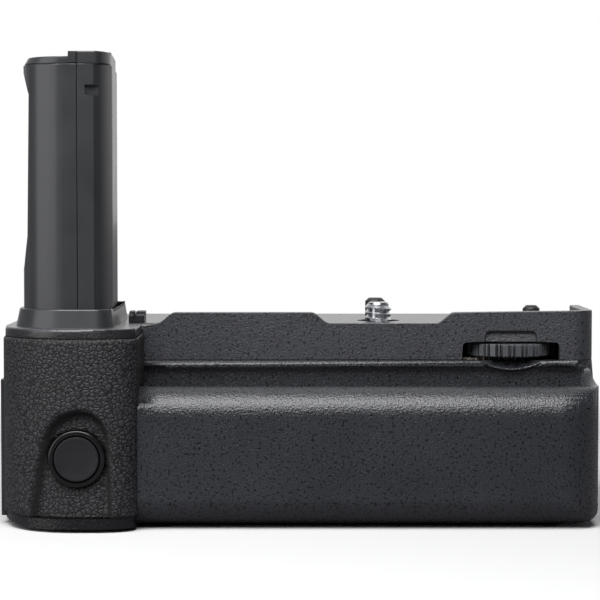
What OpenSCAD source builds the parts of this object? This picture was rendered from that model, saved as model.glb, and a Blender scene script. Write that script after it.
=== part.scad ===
// Camera battery grip: a hollow case that screws to the underside of a camera.
// Origin: the camera screw's axis on the deck. +X right, +Y to the back, +Z up.

/* [Case] */
// Camera screw axis to the left end of the case
case_left = 86.2; // [86:0.1:92]
// Room between the battery chamber and the right end of the case
end_room = 8.3; // [7:0.1:12]
// Room between the battery chamber and the back of the case
back_room = 2.45; // [2:0.05:6]
// Room between the battery chamber and the front of the bulge
bulge_room = 8.25; // [7:0.05:10]
// Wall of the two case halves
wall = 2; // [1.6:0.1:2.2]
// Thickness of the deck
deck_t = 2; // [1.6:0.1:3]
// Room between the lock wheel and the parting line
wheel_drop = 0.85; // [0.5:0.05:1.2]
// Camera screw axis to the front face under the deck
deck_front = 11.9; // [11.6:0.1:14]
// Height of the finger groove between the ledge and the shelf
groove_h = 3.4; // [3.2:0.1:6]
// Thickness of the finger shelf
shelf_t = 1.6; // [1.2:0.1:1.7]
// Rounding along the front edge of the finger shelf
shelf_r = 6.5; // [2:0.5:7]
// Rounding along the lower front edge of the bulge
foot_r = 6.5; // [3:0.5:7]
// Width of the rounded toe at the right end
toe_w = 8; // [5:0.5:10]
// Height of the rounded toe at the right end
toe_h = 3.6; // [2:0.1:5]
// Rounding of the corners at the back
back_r = 4; // [2:0.5:4]
// Rounding along the lower back edge
heel_r = 3; // [2.5:0.5:4]
// Rounding of the deck's corners at the right end
deck_r = 5; // [3:0.5:8]
// Rounding of the bulge's right front corner
bulge_r = 9; // [7:0.5:11]

/* [Ledge and lip] */
// Height of the ledge under the parting line
ledge_h = 1.5; // [0.8:0.1:1.8]
// Reach of the ledge in front of the face above it
ledge_out = 1.5; // [0.8:0.1:1.8]
// Height of the raised stretches of the front lip
lip_h = 2.5; // [1.5:0.1:4]
// Extra height of the lip at the right end
lip_rise = 0.4; // [0:0.1:1]
// Width of the lip
lip_w = 2.4; // [1.6:0.1:3]
// Camera screw axis to the lip's high stretch on the left, near end
lip_near = 16.1; // [14:0.1:20]
// Grip's flank to the lip's high stretch on the left
lip_in = 7.7; // [6:0.1:14]
// Camera screw axis to the lip's high stretch on the right
lip_right = 17.4; // [16:0.1:22]
// Length of the slopes between the lip's high and low stretches
lip_run = 4.4; // [2:0.1:6]
// Where the lip along the right edge ends, behind the camera screw
lip_back = 15.5; // [8:0.5:24]

/* [Grip] */
// Width of the grip
grip_w = 30.7; // [28:0.1:34]
// Room between the shutter board's screws and the battery chamber
shutter_room = 2.15; // [0.5:0.05:6]
// Left front corner of the grip
grip_r = 17; // [14:0.5:18]
// Right front corner of the grip
flank_r = 9.5; // [8:0.5:11]
// Depth of the grip's right front corner, front to back
flank_in = 5; // [5:0.1:9]
// Height of the rim above the rubber
rim_h = 2.2; // [1.5:0.1:4]
// Height of the foot below the rubber
foot_h = 2.3; // [2:0.1:4]
// How far the rubber stands out from the rim
rubber_out = 0.5; // [0.2:0.1:1]
// How far the rubber is let into the case
rubber_in = 1.9; // [1.9:0.1:2.4]
// Depth of the arched recess in the rubber
arch_deep = 1.9; // [1:0.1:2]
// Width of the arched recess at its foot
arch_w = 19.3; // [17:0.1:22]
// Height of the arched recess
arch_h = 22.4; // [20:0.1:25]
// Width of the arched recess at its shoulders
arch_top_w = 14.7; // [13:0.1:18]

/* [Shutter button] */
// Grip's flank to the button's axis
button_in = 13; // [12:0.1:15]
// Underside of the case to the button's axis
button_up = 15.7; // [14:0.1:18]
// Radius of the button
button_r = 5; // [4:0.1:5.2]
// Travel of the button
button_travel = 1.2; // [0.5:0.1:1.3]
// Width of the ring round the button
ring_w = 1.22; // [0.8:0.02:1.6]

/* [Camera screw and pins] */
// Diameter of the camera screw, a quarter inch
screw_d = 6.35; // [6.35:0.01:6.35]
// Length of the camera screw above the deck
screw_top = 4.4; // [3.5:0.1:5.5]
// Diameter of the hole in the deck round the screw
screw_hole_d = 10; // [8:0.1:11]
// Diameter of the index pin behind the screw
pin_d = 4.8; // [4:0.1:5]
// Height of the index pin behind the screw
pin_h = 5; // [3:0.1:6]
// Screw axis to the index pin behind it
pin_y = 8.2; // [8:0.1:10]
// Diameter of the index pin on the right
side_pin_d = 4.1; // [3:0.1:5]
// Height of the index pin on the right
side_pin_h = 3.4; // [2:0.1:5]
// Screw axis to the index pin on the right
side_pin_x = 36.9; // [36:0.1:40]

/* [Lock wheel and gears] */
// Radius of the lock wheel
wheel_r = 9.8; // [9:0.1:10]
// Thickness of the lock wheel
wheel_t = 2.95; // [2.4:0.05:3.2]
// Deck to the top of the lock wheel
wheel_z = 4.9; // [4.7:0.1:5.1]
// Front face under the deck to the wheel's axis
wheel_in = 7.2; // [6.8:0.1:8.5]
// Ribs on the lock wheel
ribs = 20; // [16:1:24]
// Depth of the grooves between the ribs
rib_deep = 0.5; // [0.3:0.1:0.8]
// Width of the window for the wheel
window_w = 22.6; // [21.5:0.1:23]
// Gear module
gear_m = 0.6; // [0.6:0.01:0.6]
// Teeth on the wheel's pinion
pinion_teeth = 12; // [12:1:12]
// Teeth on each idler
idler_teeth = 18; // [18:1:18]
// Teeth on the screw's gear
screw_teeth = 19; // [19:1:19]
// Thickness of the gears
gear_t = 2.4; // [1.5:0.1:2.5]
// Slack between meshing teeth
backlash = 0.14; // [0.1:0.02:0.2]

/* [Tower] */
// Left end of the case to the tower's left side at its waist
tower_inset = 6.8; // [6:0.1:9]
// Thickness of the tower at its waist
tower_t = 18; // [16:0.1:18.4]
// Width of the tower, front to back
tower_w = 38; // [34:0.1:40]
// Height of the tower's lip above the deck
tower_h = 59.2; // [50:0.1:66]
// Camera screw axis to the tower's front
tower_front = 28.7; // [27:0.1:29.4]
// Reach of the lips on the tower's left side
tower_lip = 1.3; // [0.6:0.1:1.5]
// Wall of the tower
tower_wall = 1.6; // [1.2:0.1:2]
// Tower's right side to the seam on its front
seam_in = 7.35; // [6:0.05:9]
// Step behind the flat strip beside the tower's seam
strip_step = 0.35; // [0.1:0.05:0.8]
// Height of the collar round the tower
collar_h = 4.1; // [2:0.1:6]
// Width of the collar's wall
collar_w = 2; // [1:0.1:2.2]

/* [Batteries] */
// Length of a battery
battery_l = 56; // [52:0.5:57]
// Width of a battery
battery_w = 40; // [36:0.5:40.5]
// Thickness of a battery
battery_t = 20.5; // [18:0.1:20.8]
// Wall of the battery tray
tray_wall = 1.5; // [1:0.1:1.6]
// Floor of the battery tray
tray_floor = 1.2; // [1:0.1:1.4]
// Wall of the battery chamber
chamber_wall = 1.2; // [0.8:0.1:1.3]
// Thickness of the door
door_t = 2; // [1.6:0.1:3]
// Radius of the latch knob
latch_r = 8; // [6:0.1:9]

/* [Base] */
// Thickness of the base pad
pad_t = 0.8; // [0.5:0.1:2]
// Length of thread in the tripod bush
tripod_l = 4.5; // [4:0.1:4.6]

/* [Hidden] */
$fn = 64;
// Clearances: shaft in bore, pressed pin, sliding tray, glued skin, moving piece, cut past a face
run_gap = 0.05;
seat_gap = 0.02;
slide_gap = 0.25;
skin_gap = 0.1;
move_gap = 0.3;
over = 1;

// Heights of the front: parting line, ledge, groove and shelf
part_line = wheel_z + wheel_t + wheel_drop;
shelf_z = part_line + ledge_h + groove_h;

// Battery chamber, from the shelf down and from the door to the right
strike_h = 1.7;
bay_gap = 1;
latch_room = 4.7;
contact_room = 2.5;
end_wall = 1.8;
door_out = 1;
door_gap = 0.2;
door_margin = 1;
chamber_top = -(shelf_z + shelf_t + skin_gap);
ceiling_z = chamber_top - chamber_wall;
mouth_top = ceiling_z - strike_h;
tray_top = mouth_top - slide_gap;
bay_z = tray_top - battery_t - slide_gap;
tray_bottom = bay_z - tray_floor;
chamber_floor = tray_bottom - slide_gap;
tray_y = 1.5;
bay_w = battery_w + bay_gap;
bay_l = battery_l + bay_gap;
tray_half = bay_w / 2 + tray_wall;
mouth_half = tray_half + slide_gap;
chamber_half = mouth_half + chamber_wall;
chamber_front = chamber_half - tray_y;
door_x = -(case_left + door_out);
tray_x = door_x + door_t;
end_x = tray_x + door_gap;
chamber_x = end_x + end_wall;
bay_x = tray_x + latch_room + tray_wall;
tray_end = bay_x + 2 * bay_l + 2 * tray_wall;
chamber_end = tray_end + contact_room;
door_half = mouth_half + door_margin;
rubber_end = tray_y - door_half - 2 * door_gap;

// Gear train: centres lie on one line from the wheel to the screw
wheel_y = deck_front - wheel_in;
pinion_r = gear_m * pinion_teeth / 2;
idler_r = gear_m * idler_teeth / 2;
screw_gear_r = gear_m * screw_teeth / 2;
train = [0, pinion_r + idler_r, pinion_r + 3 * idler_r, pinion_r + 4 * idler_r + screw_gear_r];
wheel_x = sqrt(train[3] * train[3] - wheel_y * wheel_y);
train_dir = atan2(wheel_y, -wheel_x);

// Case round the chamber, the shutter switch and the wheel
under = rubber_in + skin_gap;
board_t = 1.2;
m2_r = 1;
m2_head_r = 1.9;
m2_head_h = 1.2;
m2_free_r = 1.15;
flare_w = 3.5;
flange_t = 0.8;
switch_t = 2.7;
switch_w = 6;
plunger_h = 0.6;
shutter_stack = door_gap + flange_t + button_travel + door_gap + plunger_h + switch_t + board_t + m2_head_h;
grip_front = chamber_front + shutter_room + shutter_stack + wall + under;
bulge_front = chamber_front + bulge_room + wall;
case_back = tray_y + chamber_half + back_room + wall;
tripod_out = 0.5;
chamber_base = tripod_l - tripod_out - wall + run_gap;
case_deep = -chamber_floor + chamber_base + wall;
floor_z = -case_deep + wall;
window_side = 7.75;
case_right = max(chamber_end + chamber_wall + end_room, wheel_x + window_w / 2 + window_side);
bulge_in = 1.1;
bulge_right = case_right - bulge_in;
grip_flank = case_left - grip_w;
join_x = -(grip_flank + 6);
corner_x = -case_left + under + wall + 0.6;
corner_in = 0.8;
lip_far = grip_flank - lip_in;
door_drop = 3.5;
door_top = -part_line - door_drop;
foot_slant = 1.1;
door_bottom = -case_deep + foot_slant;
button_x = grip_flank + button_in;
button_z = case_deep - button_up;

// Latch in the door
latch_z = -27.5;
latch_shaft_r = 2.2;
latch_deep = 1.1;
latch_boss = 2.4;
tongue_t = 1.4;
tongue_w = 5;
tongue_x = chamber_x + move_gap;
tongue_l = ceiling_z - latch_z - move_gap;

// Heights and radii of the gear train
gear_top = -(wheel_z + wheel_t + 0.45);
gear_bottom = gear_top - gear_t;
frame_top = gear_bottom - 0.4;
frame_t = 1.2;
idler_axle_r = 1;
wheel_axle_r = 1.5;
screw_foot_r = 2;
addendum = 0.85 * gear_m;
dedendum = 1.15 * gear_m;
pressure = 20;

// Where the screws sit
boss_r = 2.2;
frame_grip = 5;
frame_posts = [[-10, 0], [18, 9.5], [wheel_x + 12, 6]];
main_board_x = [-50, 10];
main_board_y = [case_back - 19.4, case_back - 2.9];
board_edge = 2.5;
board_posts = [
    for (x = [main_board_x[0] + board_edge + 1.5, main_board_x[1] - board_edge - 1.5])
        for (y = [main_board_y[0] + board_edge + 1.5, main_board_y[1] - board_edge]) [x, y]
];
toe_seat = 0.8;
case_posts = [
    [-(case_left - 8.7), -(grip_front - 10.2), 0],
    [-(grip_flank + 4.5), -(grip_front - 8.7), 0],
    [case_right - 4.6, -4, toe_seat],
    [case_right - 4.6, 21, toe_seat]
];
post_r = 2.3;

// Main board under the deck
board_z = -7;

// Shutter button, ring and switch, along the front of the grip
case_face = -(grip_front - under);
case_inner = case_face + wall;
ring_r = button_r + 0.15 + ring_w;
ring_front = case_face - 1.4;
button_front = ring_front - 0.3;
flange_r = button_r + 1;
flange_back = case_inner + door_gap + flange_t;
switch_front = flange_back + button_travel + door_gap;
shutter_board_y = switch_front + plunger_h + switch_t;
shutter_board_w = 11;
shutter_post_r = 1.8;
shutter_post = flange_r + shutter_post_r + 0.7;
shutter_board_h = 2 * (shutter_post + 2.5);
shutter_screw_in = 3.9;

// Tower
tower_left = case_left - tower_inset;
tower_right = tower_left - tower_t;
tower_seam = tower_right + seam_in;
seam_gap = 0.1;
waist = [12.7, 24, tower_h - 6.7, tower_h - 1.6];
tower_back = tower_w - tower_front;
tower_boss_r = 2;
tower_boss_in = tower_wall + tower_boss_r - 0.5;
tower_screws_at = [
    [-(tower_left + tower_lip - tower_boss_in), -tower_front + 7],
    [-(tower_right + tower_boss_in), -tower_front + 7],
    [-(tower_left + tower_lip - tower_boss_in), tower_back - 6.5],
    [-(tower_right + tower_boss_in), tower_back - 6.5]
];
tower_screw_up = 6;
notch_w = 2;
notch_h = 2.3;
notch_down = 4.8;
notch_deep = 0.8;
cap_post_r = 1.5;
cap_posts_at = [
    for (x = [-(tower_left - tower_wall - cap_post_r - 0.4), -(tower_right + tower_wall + cap_post_r + 0.7)])
        for (y = [-tower_front + 9.5, tower_back - 6.5]) [x, y]
];
cap_low = 1.7;
cap_high = 3.1;
cap_step = tower_seam + 2;
cap_post_h = 3.2;
cap_in = 8.7;
cap_groove = 0.2;
cap_groove_deep = 0.5;
tower_board_z = tower_h - cap_post_h - board_t;
contact_t = 0.8;
contact_pitch = 3.2;
contacts = 4;
collar_side = 0.6;

// Finger window
window_top = wheel_z - 0.4;
scoop_top = window_top - 2.6;
window_r = 1;
scoop_half = 6;
scoop_deep = wall - 0.7;
scoop_low = 0.25;
scoop_corner = 1.3;
relief_half = 5.5;
relief_h = 1.9;
relief_deep = 1.4;
relief_r = (relief_half * relief_half + relief_deep * relief_deep) / (2 * relief_deep);

// Base
pad_x = [-grip_flank - 2.5, case_right - 10.3];
pad_y = [-(bulge_front - 7.5), case_back - 5];
tripod_bush_r = 5.5;

// Clip beside the tower, seat of the thumb rubber, and the door's screws
clip_x = [-tower_right + 2.6, -grip_flank + 0.4];
clip_y = [-deck_front + 1.6, -deck_front + 3.4, -deck_front + 8];
clip_low = 1.8;
clip_high = 2.6;
clip_slot = 0.4;
thumb_deep = 0.8;
thumb_out = 0.4;
thumb_x = [-case_left + 7, -grip_flank - 2];
thumb_z = [-case_deep + 9.7, -part_line - 4];
door_screw_in = 4;
door_screw_up = 3;
door_screw_off = 16;
door_screws_at = [for (s = [-1, 1]) [tray_y + s * door_screw_off, bay_z + door_screw_up]];

// Points along an ellipse arc, counter-clockwise when a1 > a0
function arc(c, rx, ry, a0, a1, n = 10) =
    [for (i = [0:n]) let (a = a0 + (a1 - a0) * i / n) [c[0] + rx * cos(a), c[1] + ry * sin(a)]];

// Smooth rise or fall between two points
function slope(p, q, n = 8) =
    [
        for (i = [0:n])
            let (t = i / n) [p[0] + (q[0] - p[0]) * t, p[1] + (q[1] - p[1]) * (1 - cos(180 * t)) / 2]
    ];

// Plan of the hand grip: inset by d where the rubber covers it, and by e at the left end and back.
// The step between the two lies g behind the rubber's end.
function grip_plan(d, e, g = 0) = let (
    c = [-case_left + grip_r, -grip_front + grip_r],
    seam = c[1] - rubber_end - g,
    back = back_r - min(e, back_r - 0.5)
) concat(
    arc(c, grip_r - e, grip_r - e, 180, 180 + asin(seam / (grip_r - e)), 2),
    arc(c, grip_r - d, grip_r - d, 180 + asin(seam / (grip_r - d)), 270, 16),
    arc([-grip_flank - flank_r, -grip_front + flank_in], flank_r - d, flank_in - d, 270, 360, 12),
    [[-grip_flank - d, case_back - e]],
    arc([-case_left + back_r, case_back - back_r], back, back, 90, 180)
);

// Plan of the deck to the right of the grip, inset by d
function deck_plan(d) = concat(
    [[join_x, -deck_front + d]],
    arc([case_right - deck_r, -deck_front + deck_r], deck_r - d, deck_r - d, 270, 360),
    arc([case_right - deck_r, case_back - deck_r], deck_r - d, deck_r - d, 0, 90),
    [[join_x, case_back - d]]
);

// Centre of the bulge's right front corner
bulge_c = [bulge_right - bulge_r, -bulge_front + bulge_r];

// Plan of the bulge, inset by d
function bulge_plan(d) = concat(
    [[join_x, -bulge_front + d]],
    arc(bulge_c, bulge_r - d, bulge_r - d, 270, 360, 14),
    arc([bulge_right - deck_r, case_back - deck_r], deck_r - d, deck_r - d, 0, 90),
    [[join_x, case_back - d]]
);

// Section of the bulge, front to back and up, inset by d with its top lowered by t
function bulge_section(d, t) = concat(
    arc([-bulge_front + shelf_r, -shelf_z - shelf_r], shelf_r - d, shelf_r - t, 90, 180, 16),
    arc([-bulge_front + foot_r, -case_deep + foot_r], foot_r - d, foot_r - d, 180, 270),
    arc([case_back - heel_r, -case_deep + heel_r], heel_r - d, heel_r - d, 270, 360, 6),
    [[case_back - d, -shelf_z - t]]
);

// Outline of the case from its end: only the lower back edge is rounded
function end_outline() = concat(
    [
        [-grip_front - over, over],
        [-grip_front - over, -case_deep - over],
        [0, -case_deep - over],
        [0, -case_deep]
    ],
    arc([case_back - heel_r, -case_deep + heel_r], heel_r, heel_r, 270, 360, 6),
    [[case_back, over]]
);

// Outline of the case from the front: slanted foot at the left, rounded foot at the right
function front_outline() = concat(
    [[-case_left - over, over], [-case_left - over, -case_deep + foot_slant], [-case_left + 6.2, -case_deep]],
    arc([bulge_right - toe_w, -case_deep + toe_h], toe_w, toe_h, 270, 360),
    [[case_right + over, -case_deep + toe_h + 0.1], [case_right + over, over]]
);

// Scoop above the window, with rounded upper corners
function scoop_outline() = let (half = scoop_half - scoop_corner) concat(
    [[wheel_x - scoop_half, -window_top - over], [wheel_x + scoop_half, -window_top - over]],
    arc([wheel_x + half, -scoop_top - scoop_corner], scoop_corner, scoop_corner, 0, 90, 4),
    arc([wheel_x - half, -scoop_top - scoop_corner], scoop_corner, scoop_corner, 90, 180, 4)
);

// Window of the wheel, with rounded upper corners
function window_outline() = let (half = window_w / 2 - window_r) concat(
    [[wheel_x - window_w / 2, -part_line - over], [wheel_x + window_w / 2, -part_line - over]],
    arc([wheel_x + half, -window_top - window_r], window_r, window_r, 0, 90, 4),
    arc([wheel_x - half, -window_top - window_r], window_r, window_r, 90, 180, 4)
);

// Top of the lip along the front of the deck
function lip_outline() = concat(
    [[-grip_flank + 1.2, -deck_t / 2]],
    [[-grip_flank + 1.2, 0]],
    slope([-lip_far - lip_run, 0], [-lip_far, lip_h]),
    slope([-lip_near, lip_h], [-lip_near + lip_run, 0]),
    slope([lip_right - lip_run, 0], [lip_right, lip_h]),
    [[case_right + over, lip_h + lip_rise], [case_right + over, -deck_t / 2]]
);

// Plan of the tower, inset by d, with a step of s behind the flat strip
function tower_plan(d, s = 0) = concat(
    arc([-tower_left - tower_lip + 10, -tower_front + 10], 10 - d, 10 - d, 180, 270),
    [[-tower_right - 3.5, -tower_front + d]],
    arc([-tower_right - 3.5, -tower_front + 8], 3.5 - d, 8 - s - d, 270, 360),
    arc([-tower_right - 3, tower_back - 3], 3 - d, 3 - d, 0, 90, 6),
    arc([-tower_left - tower_lip + 3, tower_back - 3], 3 - d, 3 - d, 90, 180, 6)
);

// Tower from the front: its left side is drawn in between two lips
function tower_outline(d) = concat(
    [[-tower_left - tower_lip + d, -over], [-tower_left - tower_lip + d, waist[0]]],
    slope([-tower_left - tower_lip + d, waist[0]], [-tower_left + d, waist[1]]),
    slope([-tower_left + d, waist[2]], [-tower_left - tower_lip + d, waist[3]]),
    [[-tower_left - tower_lip + d, tower_h + over], [0, tower_h + over], [0, -over]]
);

// Arched recess round the shutter button, seen from the front
function arch_outline() = let (x = -button_x - 0.15, z = -button_z + 8.1) concat(
    [[x - 1.1 - arch_w / 2, z - arch_h + 3.5], [x - 1.1 - arch_w / 2, -case_deep]],
    [[x - 1.1 + arch_w / 2, -case_deep], [x - 1.1 + arch_w / 2, z - arch_h + 3.5]],
    arc([x, z], arch_top_w / 2, 3.5, 0, 180)
);

// One flank of a gear tooth: angle of the involute at radius r
function roll(base, r) = let (s = sqrt(max(0, r * r / (base * base) - 1))) s * 180 / PI - atan(s);

// Gear outline with true involute flanks above the base circle
function gear_outline(n) = let (
    rp = gear_m * n / 2,
    base = rp * cos(pressure),
    half = 90 / n - backlash / (2 * rp) * 180 / PI + roll(base, rp),
    tip = rp + addendum,
    root = rp - dedendum,
    steps = 4,
    low = max(base, root),
    flank = [for (i = [0:steps]) let (r = low + (tip - low) * i / steps) [r, half - roll(base, r)]]
) [for (k = [0:n - 1]) for (p = concat(
        [[root, -half]], [for (q = flank) [q[0], -q[1]]],
        [for (i = [steps:-1:0]) flank[i]], [[root, half]]))
    let (a = 360 * k / n + p[1]) [p[0] * cos(a), p[0] * sin(a)]];

// Ribbed rim of the lock wheel: a wide rib, then a thin ridge between two grooves
function wheel_outline() = let (step = 360 / ribs) [for (k = [0:ribs - 1])
    for (p = [[0.19, 0], [0.81, 0], [0.82, 1], [0.88, 1], [0.89, 0], [1.11, 0], [1.12, 1], [1.18, 1]])
    let (a = step * (k + p[0]), r = wheel_r - rib_deep * p[1]) [r * cos(a), r * sin(a)]];

module slab(z0, z1, points) {
    translate([0, 0, z0])
        linear_extrude(z1 - z0)
            polygon(points);
}

// Solid whose outline is seen from the front, between two depths
module front_slab(y0, y1, points) {
    translate([0, y1, 0])
        rotate([90, 0, 0])
            linear_extrude(y1 - y0)
                polygon(points);
}

// Solid whose outline is seen from the right end, between two stations
module side_slab(x0, x1, points) {
    translate([x0, 0, 0])
        rotate([90, 0, 90])
            linear_extrude(x1 - x0)
                polygon(points);
}

module box(x, y, z) {
    translate([x[0], y[0], z[0]])
        cube([x[1] - x[0], y[1] - y[0], z[1] - z[0]]);
}

module rod(at, r, z0, z1) {
    translate([at[0], at[1], z0])
        cylinder(r = r, h = z1 - z0);
}

// Cylinder that runs front to back, at a place seen from the front
module rod_y(at, r, y0, y1) {
    translate([at[0], y1, at[1]])
        rotate([90, 0, 0])
            cylinder(r = r, h = y1 - y0);
}

// Cylinder that runs left to right, at a place seen from the end
module rod_x(at, r, x0, x1) {
    translate([x0, at[0], at[1]])
        rotate([0, 90, 0])
            cylinder(r = r, h = x1 - x0);
}

// Screw that points up from its head
module screw_up(at, z, length) {
    rod(at, m2_head_r, z - m2_head_h, z);
    rod(at, m2_r, z - m2_head_h, z + length);
}

// Bulge of the lower case, inset by d with its top lowered by t
module bulge(d, t) {
    intersection() {
        slab(-case_deep + d, -shelf_z - t, bulge_plan(d));
        side_slab(join_x, case_right, bulge_section(d, t));
    }
}

// Ramp that closes the finger groove at the right end, and the neck's corner behind it
module neck_flare() {
    top = -part_line - ledge_h;
    tall = shelf_z - part_line - ledge_h;
    intersection() {
        slab(-shelf_z - over / 2, top, bulge_plan(0));
        union() {
            front_slab(-bulge_front, 0, [
                [bulge_right - flare_w, -shelf_z - over], [bulge_right - flare_w, -shelf_z],
                [bulge_right, top + over], [bulge_right + over, top + over],
                [bulge_right + over, -shelf_z - over]
            ]);
            box([case_right - deck_r, bulge_right + over], [-deck_front, -deck_front + deck_r + over],
                [-shelf_z - over, top + over]);
        }
        side_slab(bulge_right - flare_w - deck_r, case_right, concat(
            arc([-bulge_front + bulge_r, top], bulge_front - bulge_r - deck_front, tall, 270, 360),
            [[0, top], [0, -shelf_z - over], [-bulge_front + bulge_r, -shelf_z - over]]
        ));
    }
}

// Place of the nth axis of the gear train
function train_at(n) = [
    wheel_x + train[n] * cos(train_dir),
    -wheel_y + train[n] * sin(train_dir)
];

// Angle of a tooth on each gear, so that teeth meet gaps
function train_phase(n) =
    n == 0 ? train_dir :
    n == 1 ? train_dir + 180 - 180 / idler_teeth :
    n == 2 ? train_dir :
    train_dir + 180 - 180 / screw_teeth;

// Plate that carries the gears, round the posts that hold it
function frame_outline() = let (
    front = -deck_front + wall + 1.3,
    a = frame_posts[0],
    b = frame_posts[1],
    c = frame_posts[2]
) [
    [a[0] - 3, a[1] - 5], [a[0] + 4, front], [wheel_x + 4, front], [wheel_x + 8.5, front + 3.6],
    [wheel_x + 8.5, c[1] - 5], [c[0] + 2.6, c[1] - 3], [c[0] + 2.6, c[1] + 3],
    [b[0] + 2, b[1] + 3], [b[0] - 3, b[1] + 3], [a[0] + 4, a[1] + 7.5], [a[0] - 3, a[1] + 4]
];

module gear(n, teeth) {
    translate(concat(train_at(n), [gear_bottom]))
        rotate(train_phase(n))
            linear_extrude(gear_t)
                polygon(gear_outline(teeth));
}

// Raised lip along the front of the deck and round its right end
module deck_lip() {
    intersection() {
        difference() {
            slab(-deck_t / 2, lip_h + lip_rise, deck_plan(0));
            slab(-deck_t, lip_h + lip_rise + over, deck_plan(lip_w));
            box([join_x - over, case_right - deck_r], [0, case_back + over], [-deck_t, lip_h + over]);
            box([join_x, case_right + over], [lip_back, case_back + over], [-deck_t, lip_h + over]);
        }
        front_slab(-deck_front - over, case_back, lip_outline());
    }
}

module upper_case() {
    color("#45464B")
    difference() {
        union() {
            difference() {
                union() {
                    slab(-rim_h, 0, grip_plan(0, 0));
                    slab(-part_line, 0, grip_plan(under, 0));
                    slab(-part_line, 0, deck_plan(0));
                }
                slab(-part_line - over, -deck_t, grip_plan(under + wall, wall, wall));
                slab(-part_line - over, -deck_t, deck_plan(wall));
            }
            deck_lip();
            for (p = frame_posts) rod(p, boss_r, frame_top, -deck_t);
            for (p = board_posts) rod(p, boss_r, board_z, -deck_t);
            intersection() {
                for (p = case_posts) rod(p, post_r, -part_line, -deck_t);
                union() {
                    slab(-part_line, 0, grip_plan(under, 0));
                    slab(-part_line, 0, deck_plan(0));
                }
            }
        }
        for (p = frame_posts) rod(p, m2_r + seat_gap, frame_top - over, -deck_t - 1);
        for (p = board_posts) rod(p, m2_r + seat_gap, board_z - over, -deck_t);
        for (p = case_posts) rod(p, m2_r + seat_gap, -part_line - over, -deck_t - 1);
        for (p = tower_screws_at) rod(p, m2_free_r, -deck_t - over, over);
        rod([0, 0], screw_hole_d / 2, -deck_t - over, over);
        rod([-0.5, pin_y], pin_d / 4 + seat_gap, -deck_t - over, over);
        rod([side_pin_x, 4], side_pin_d / 4 + seat_gap, -deck_t - over, over);
        rod([wheel_x, -wheel_y], wheel_axle_r + seat_gap, -deck_t - over, -deck_t / 2);
        // Lead from the tower
        rod([-tower_seam - 2.5, -10], 3, -deck_t - over, over);
        // Window for the wheel, and the scoop above it
        front_slab(-deck_front - over, -deck_front + wall + over, window_outline());
        intersection() {
            front_slab(-deck_front - over, -deck_front + scoop_deep + over, scoop_outline());
            side_slab(wheel_x - scoop_half - over, wheel_x + scoop_half + over, [
                [-deck_front - 2 * over, -window_top - 2 * over],
                [-deck_front + scoop_low, -window_top - 2 * over],
                [-deck_front + scoop_deep, -scoop_top + over],
                [-deck_front - 2 * over, -scoop_top + over]
            ]);
        }
    }
}

// Hollow of the lower case
module lower_hollow() {
    slab(floor_z, 0, grip_plan(under + wall, wall, wall));
    bulge(wall, shelf_t);
    slab(-shelf_z - shelf_t - over, 0, deck_plan(wall));
}

module lower_case() {
    color("#35363B")
    difference() {
        intersection() {
            union() {
                difference() {
                    union() {
                        slab(-case_deep, -case_deep + foot_h, grip_plan(0, 0));
                        slab(-case_deep, -part_line, grip_plan(under, 0));
                        bulge(0, 0);
                        neck_flare();
                        slab(-shelf_z - shelf_t, -part_line, deck_plan(0));
                        intersection() {
                            slab(-part_line - ledge_h, -part_line, deck_plan(-ledge_out));
                            box([-grip_flank + rubber_out + skin_gap, case_right - 4],
                                [-deck_front - over - ledge_out, -deck_front + over], [-shelf_z, 0]);
                        }
                    }
                    lower_hollow();
                }
                intersection() {
                    for (p = case_posts) rod(p, post_r, floor_z - over / 2, -part_line);
                    union() {
                        slab(-case_deep, -part_line, grip_plan(under, 0));
                        bulge(0, 0);
                        slab(-shelf_z - shelf_t, -part_line, deck_plan(0));
                    }
                }
                for (s = [-1, 1])
                    rod_y([-button_x, -button_z + s * shutter_post], shutter_post_r,
                        case_inner - wall / 2, shutter_board_y);
            }
            front_slab(-grip_front - over, case_back + over, front_outline());
            side_slab(-case_left - over, case_right + over, end_outline());
        }
        // Seat of the door, and the mouth that the tray slides through
        box([-case_left - over, end_x], [tray_y - door_half - door_gap, tray_y + door_half + door_gap],
            [door_bottom - door_gap, door_top + door_gap]);
        box([-case_left - over, chamber_x + over], [tray_y - mouth_half, tray_y + mouth_half],
            [chamber_floor, mouth_top]);
        box([chamber_x, corner_x], [tray_y - mouth_half, tray_y], [chamber_floor, mouth_top]);
        // Shutter button and the screws of its board
        rod_y([-button_x, -button_z], ring_r + seat_gap, -grip_front, case_inner + 3);
        for (s = [-1, 1])
            rod_y([-button_x, -button_z + s * shutter_post], m2_r + seat_gap,
                shutter_board_y - shutter_screw_in - skin_gap, shutter_board_y + over);
        for (p = case_posts) {
            rod(p, m2_free_r, floor_z - over, 0);
            rod(p, m2_head_r + skin_gap, -case_deep - over, floor_z + p[2]);
        }
        rod([0, 0], tripod_bush_r + seat_gap, -case_deep - over, floor_z + over);
        // Relief for the finger under the wheel
        translate([wheel_x, -deck_front - relief_r + relief_deep, -part_line - relief_h])
            cylinder(r1 = relief_r - relief_deep, r2 = relief_r, h = relief_h);
        thumb_seat(skin_gap);
    }
}

// Recess for the thumb rubber in the back, grown by g
module thumb_seat(g) {
    box([thumb_x[0] - g, thumb_x[1] + g], [case_back - thumb_deep - g, case_back + over],
        [thumb_z[0] - g, thumb_z[1] + g]);
}

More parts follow.
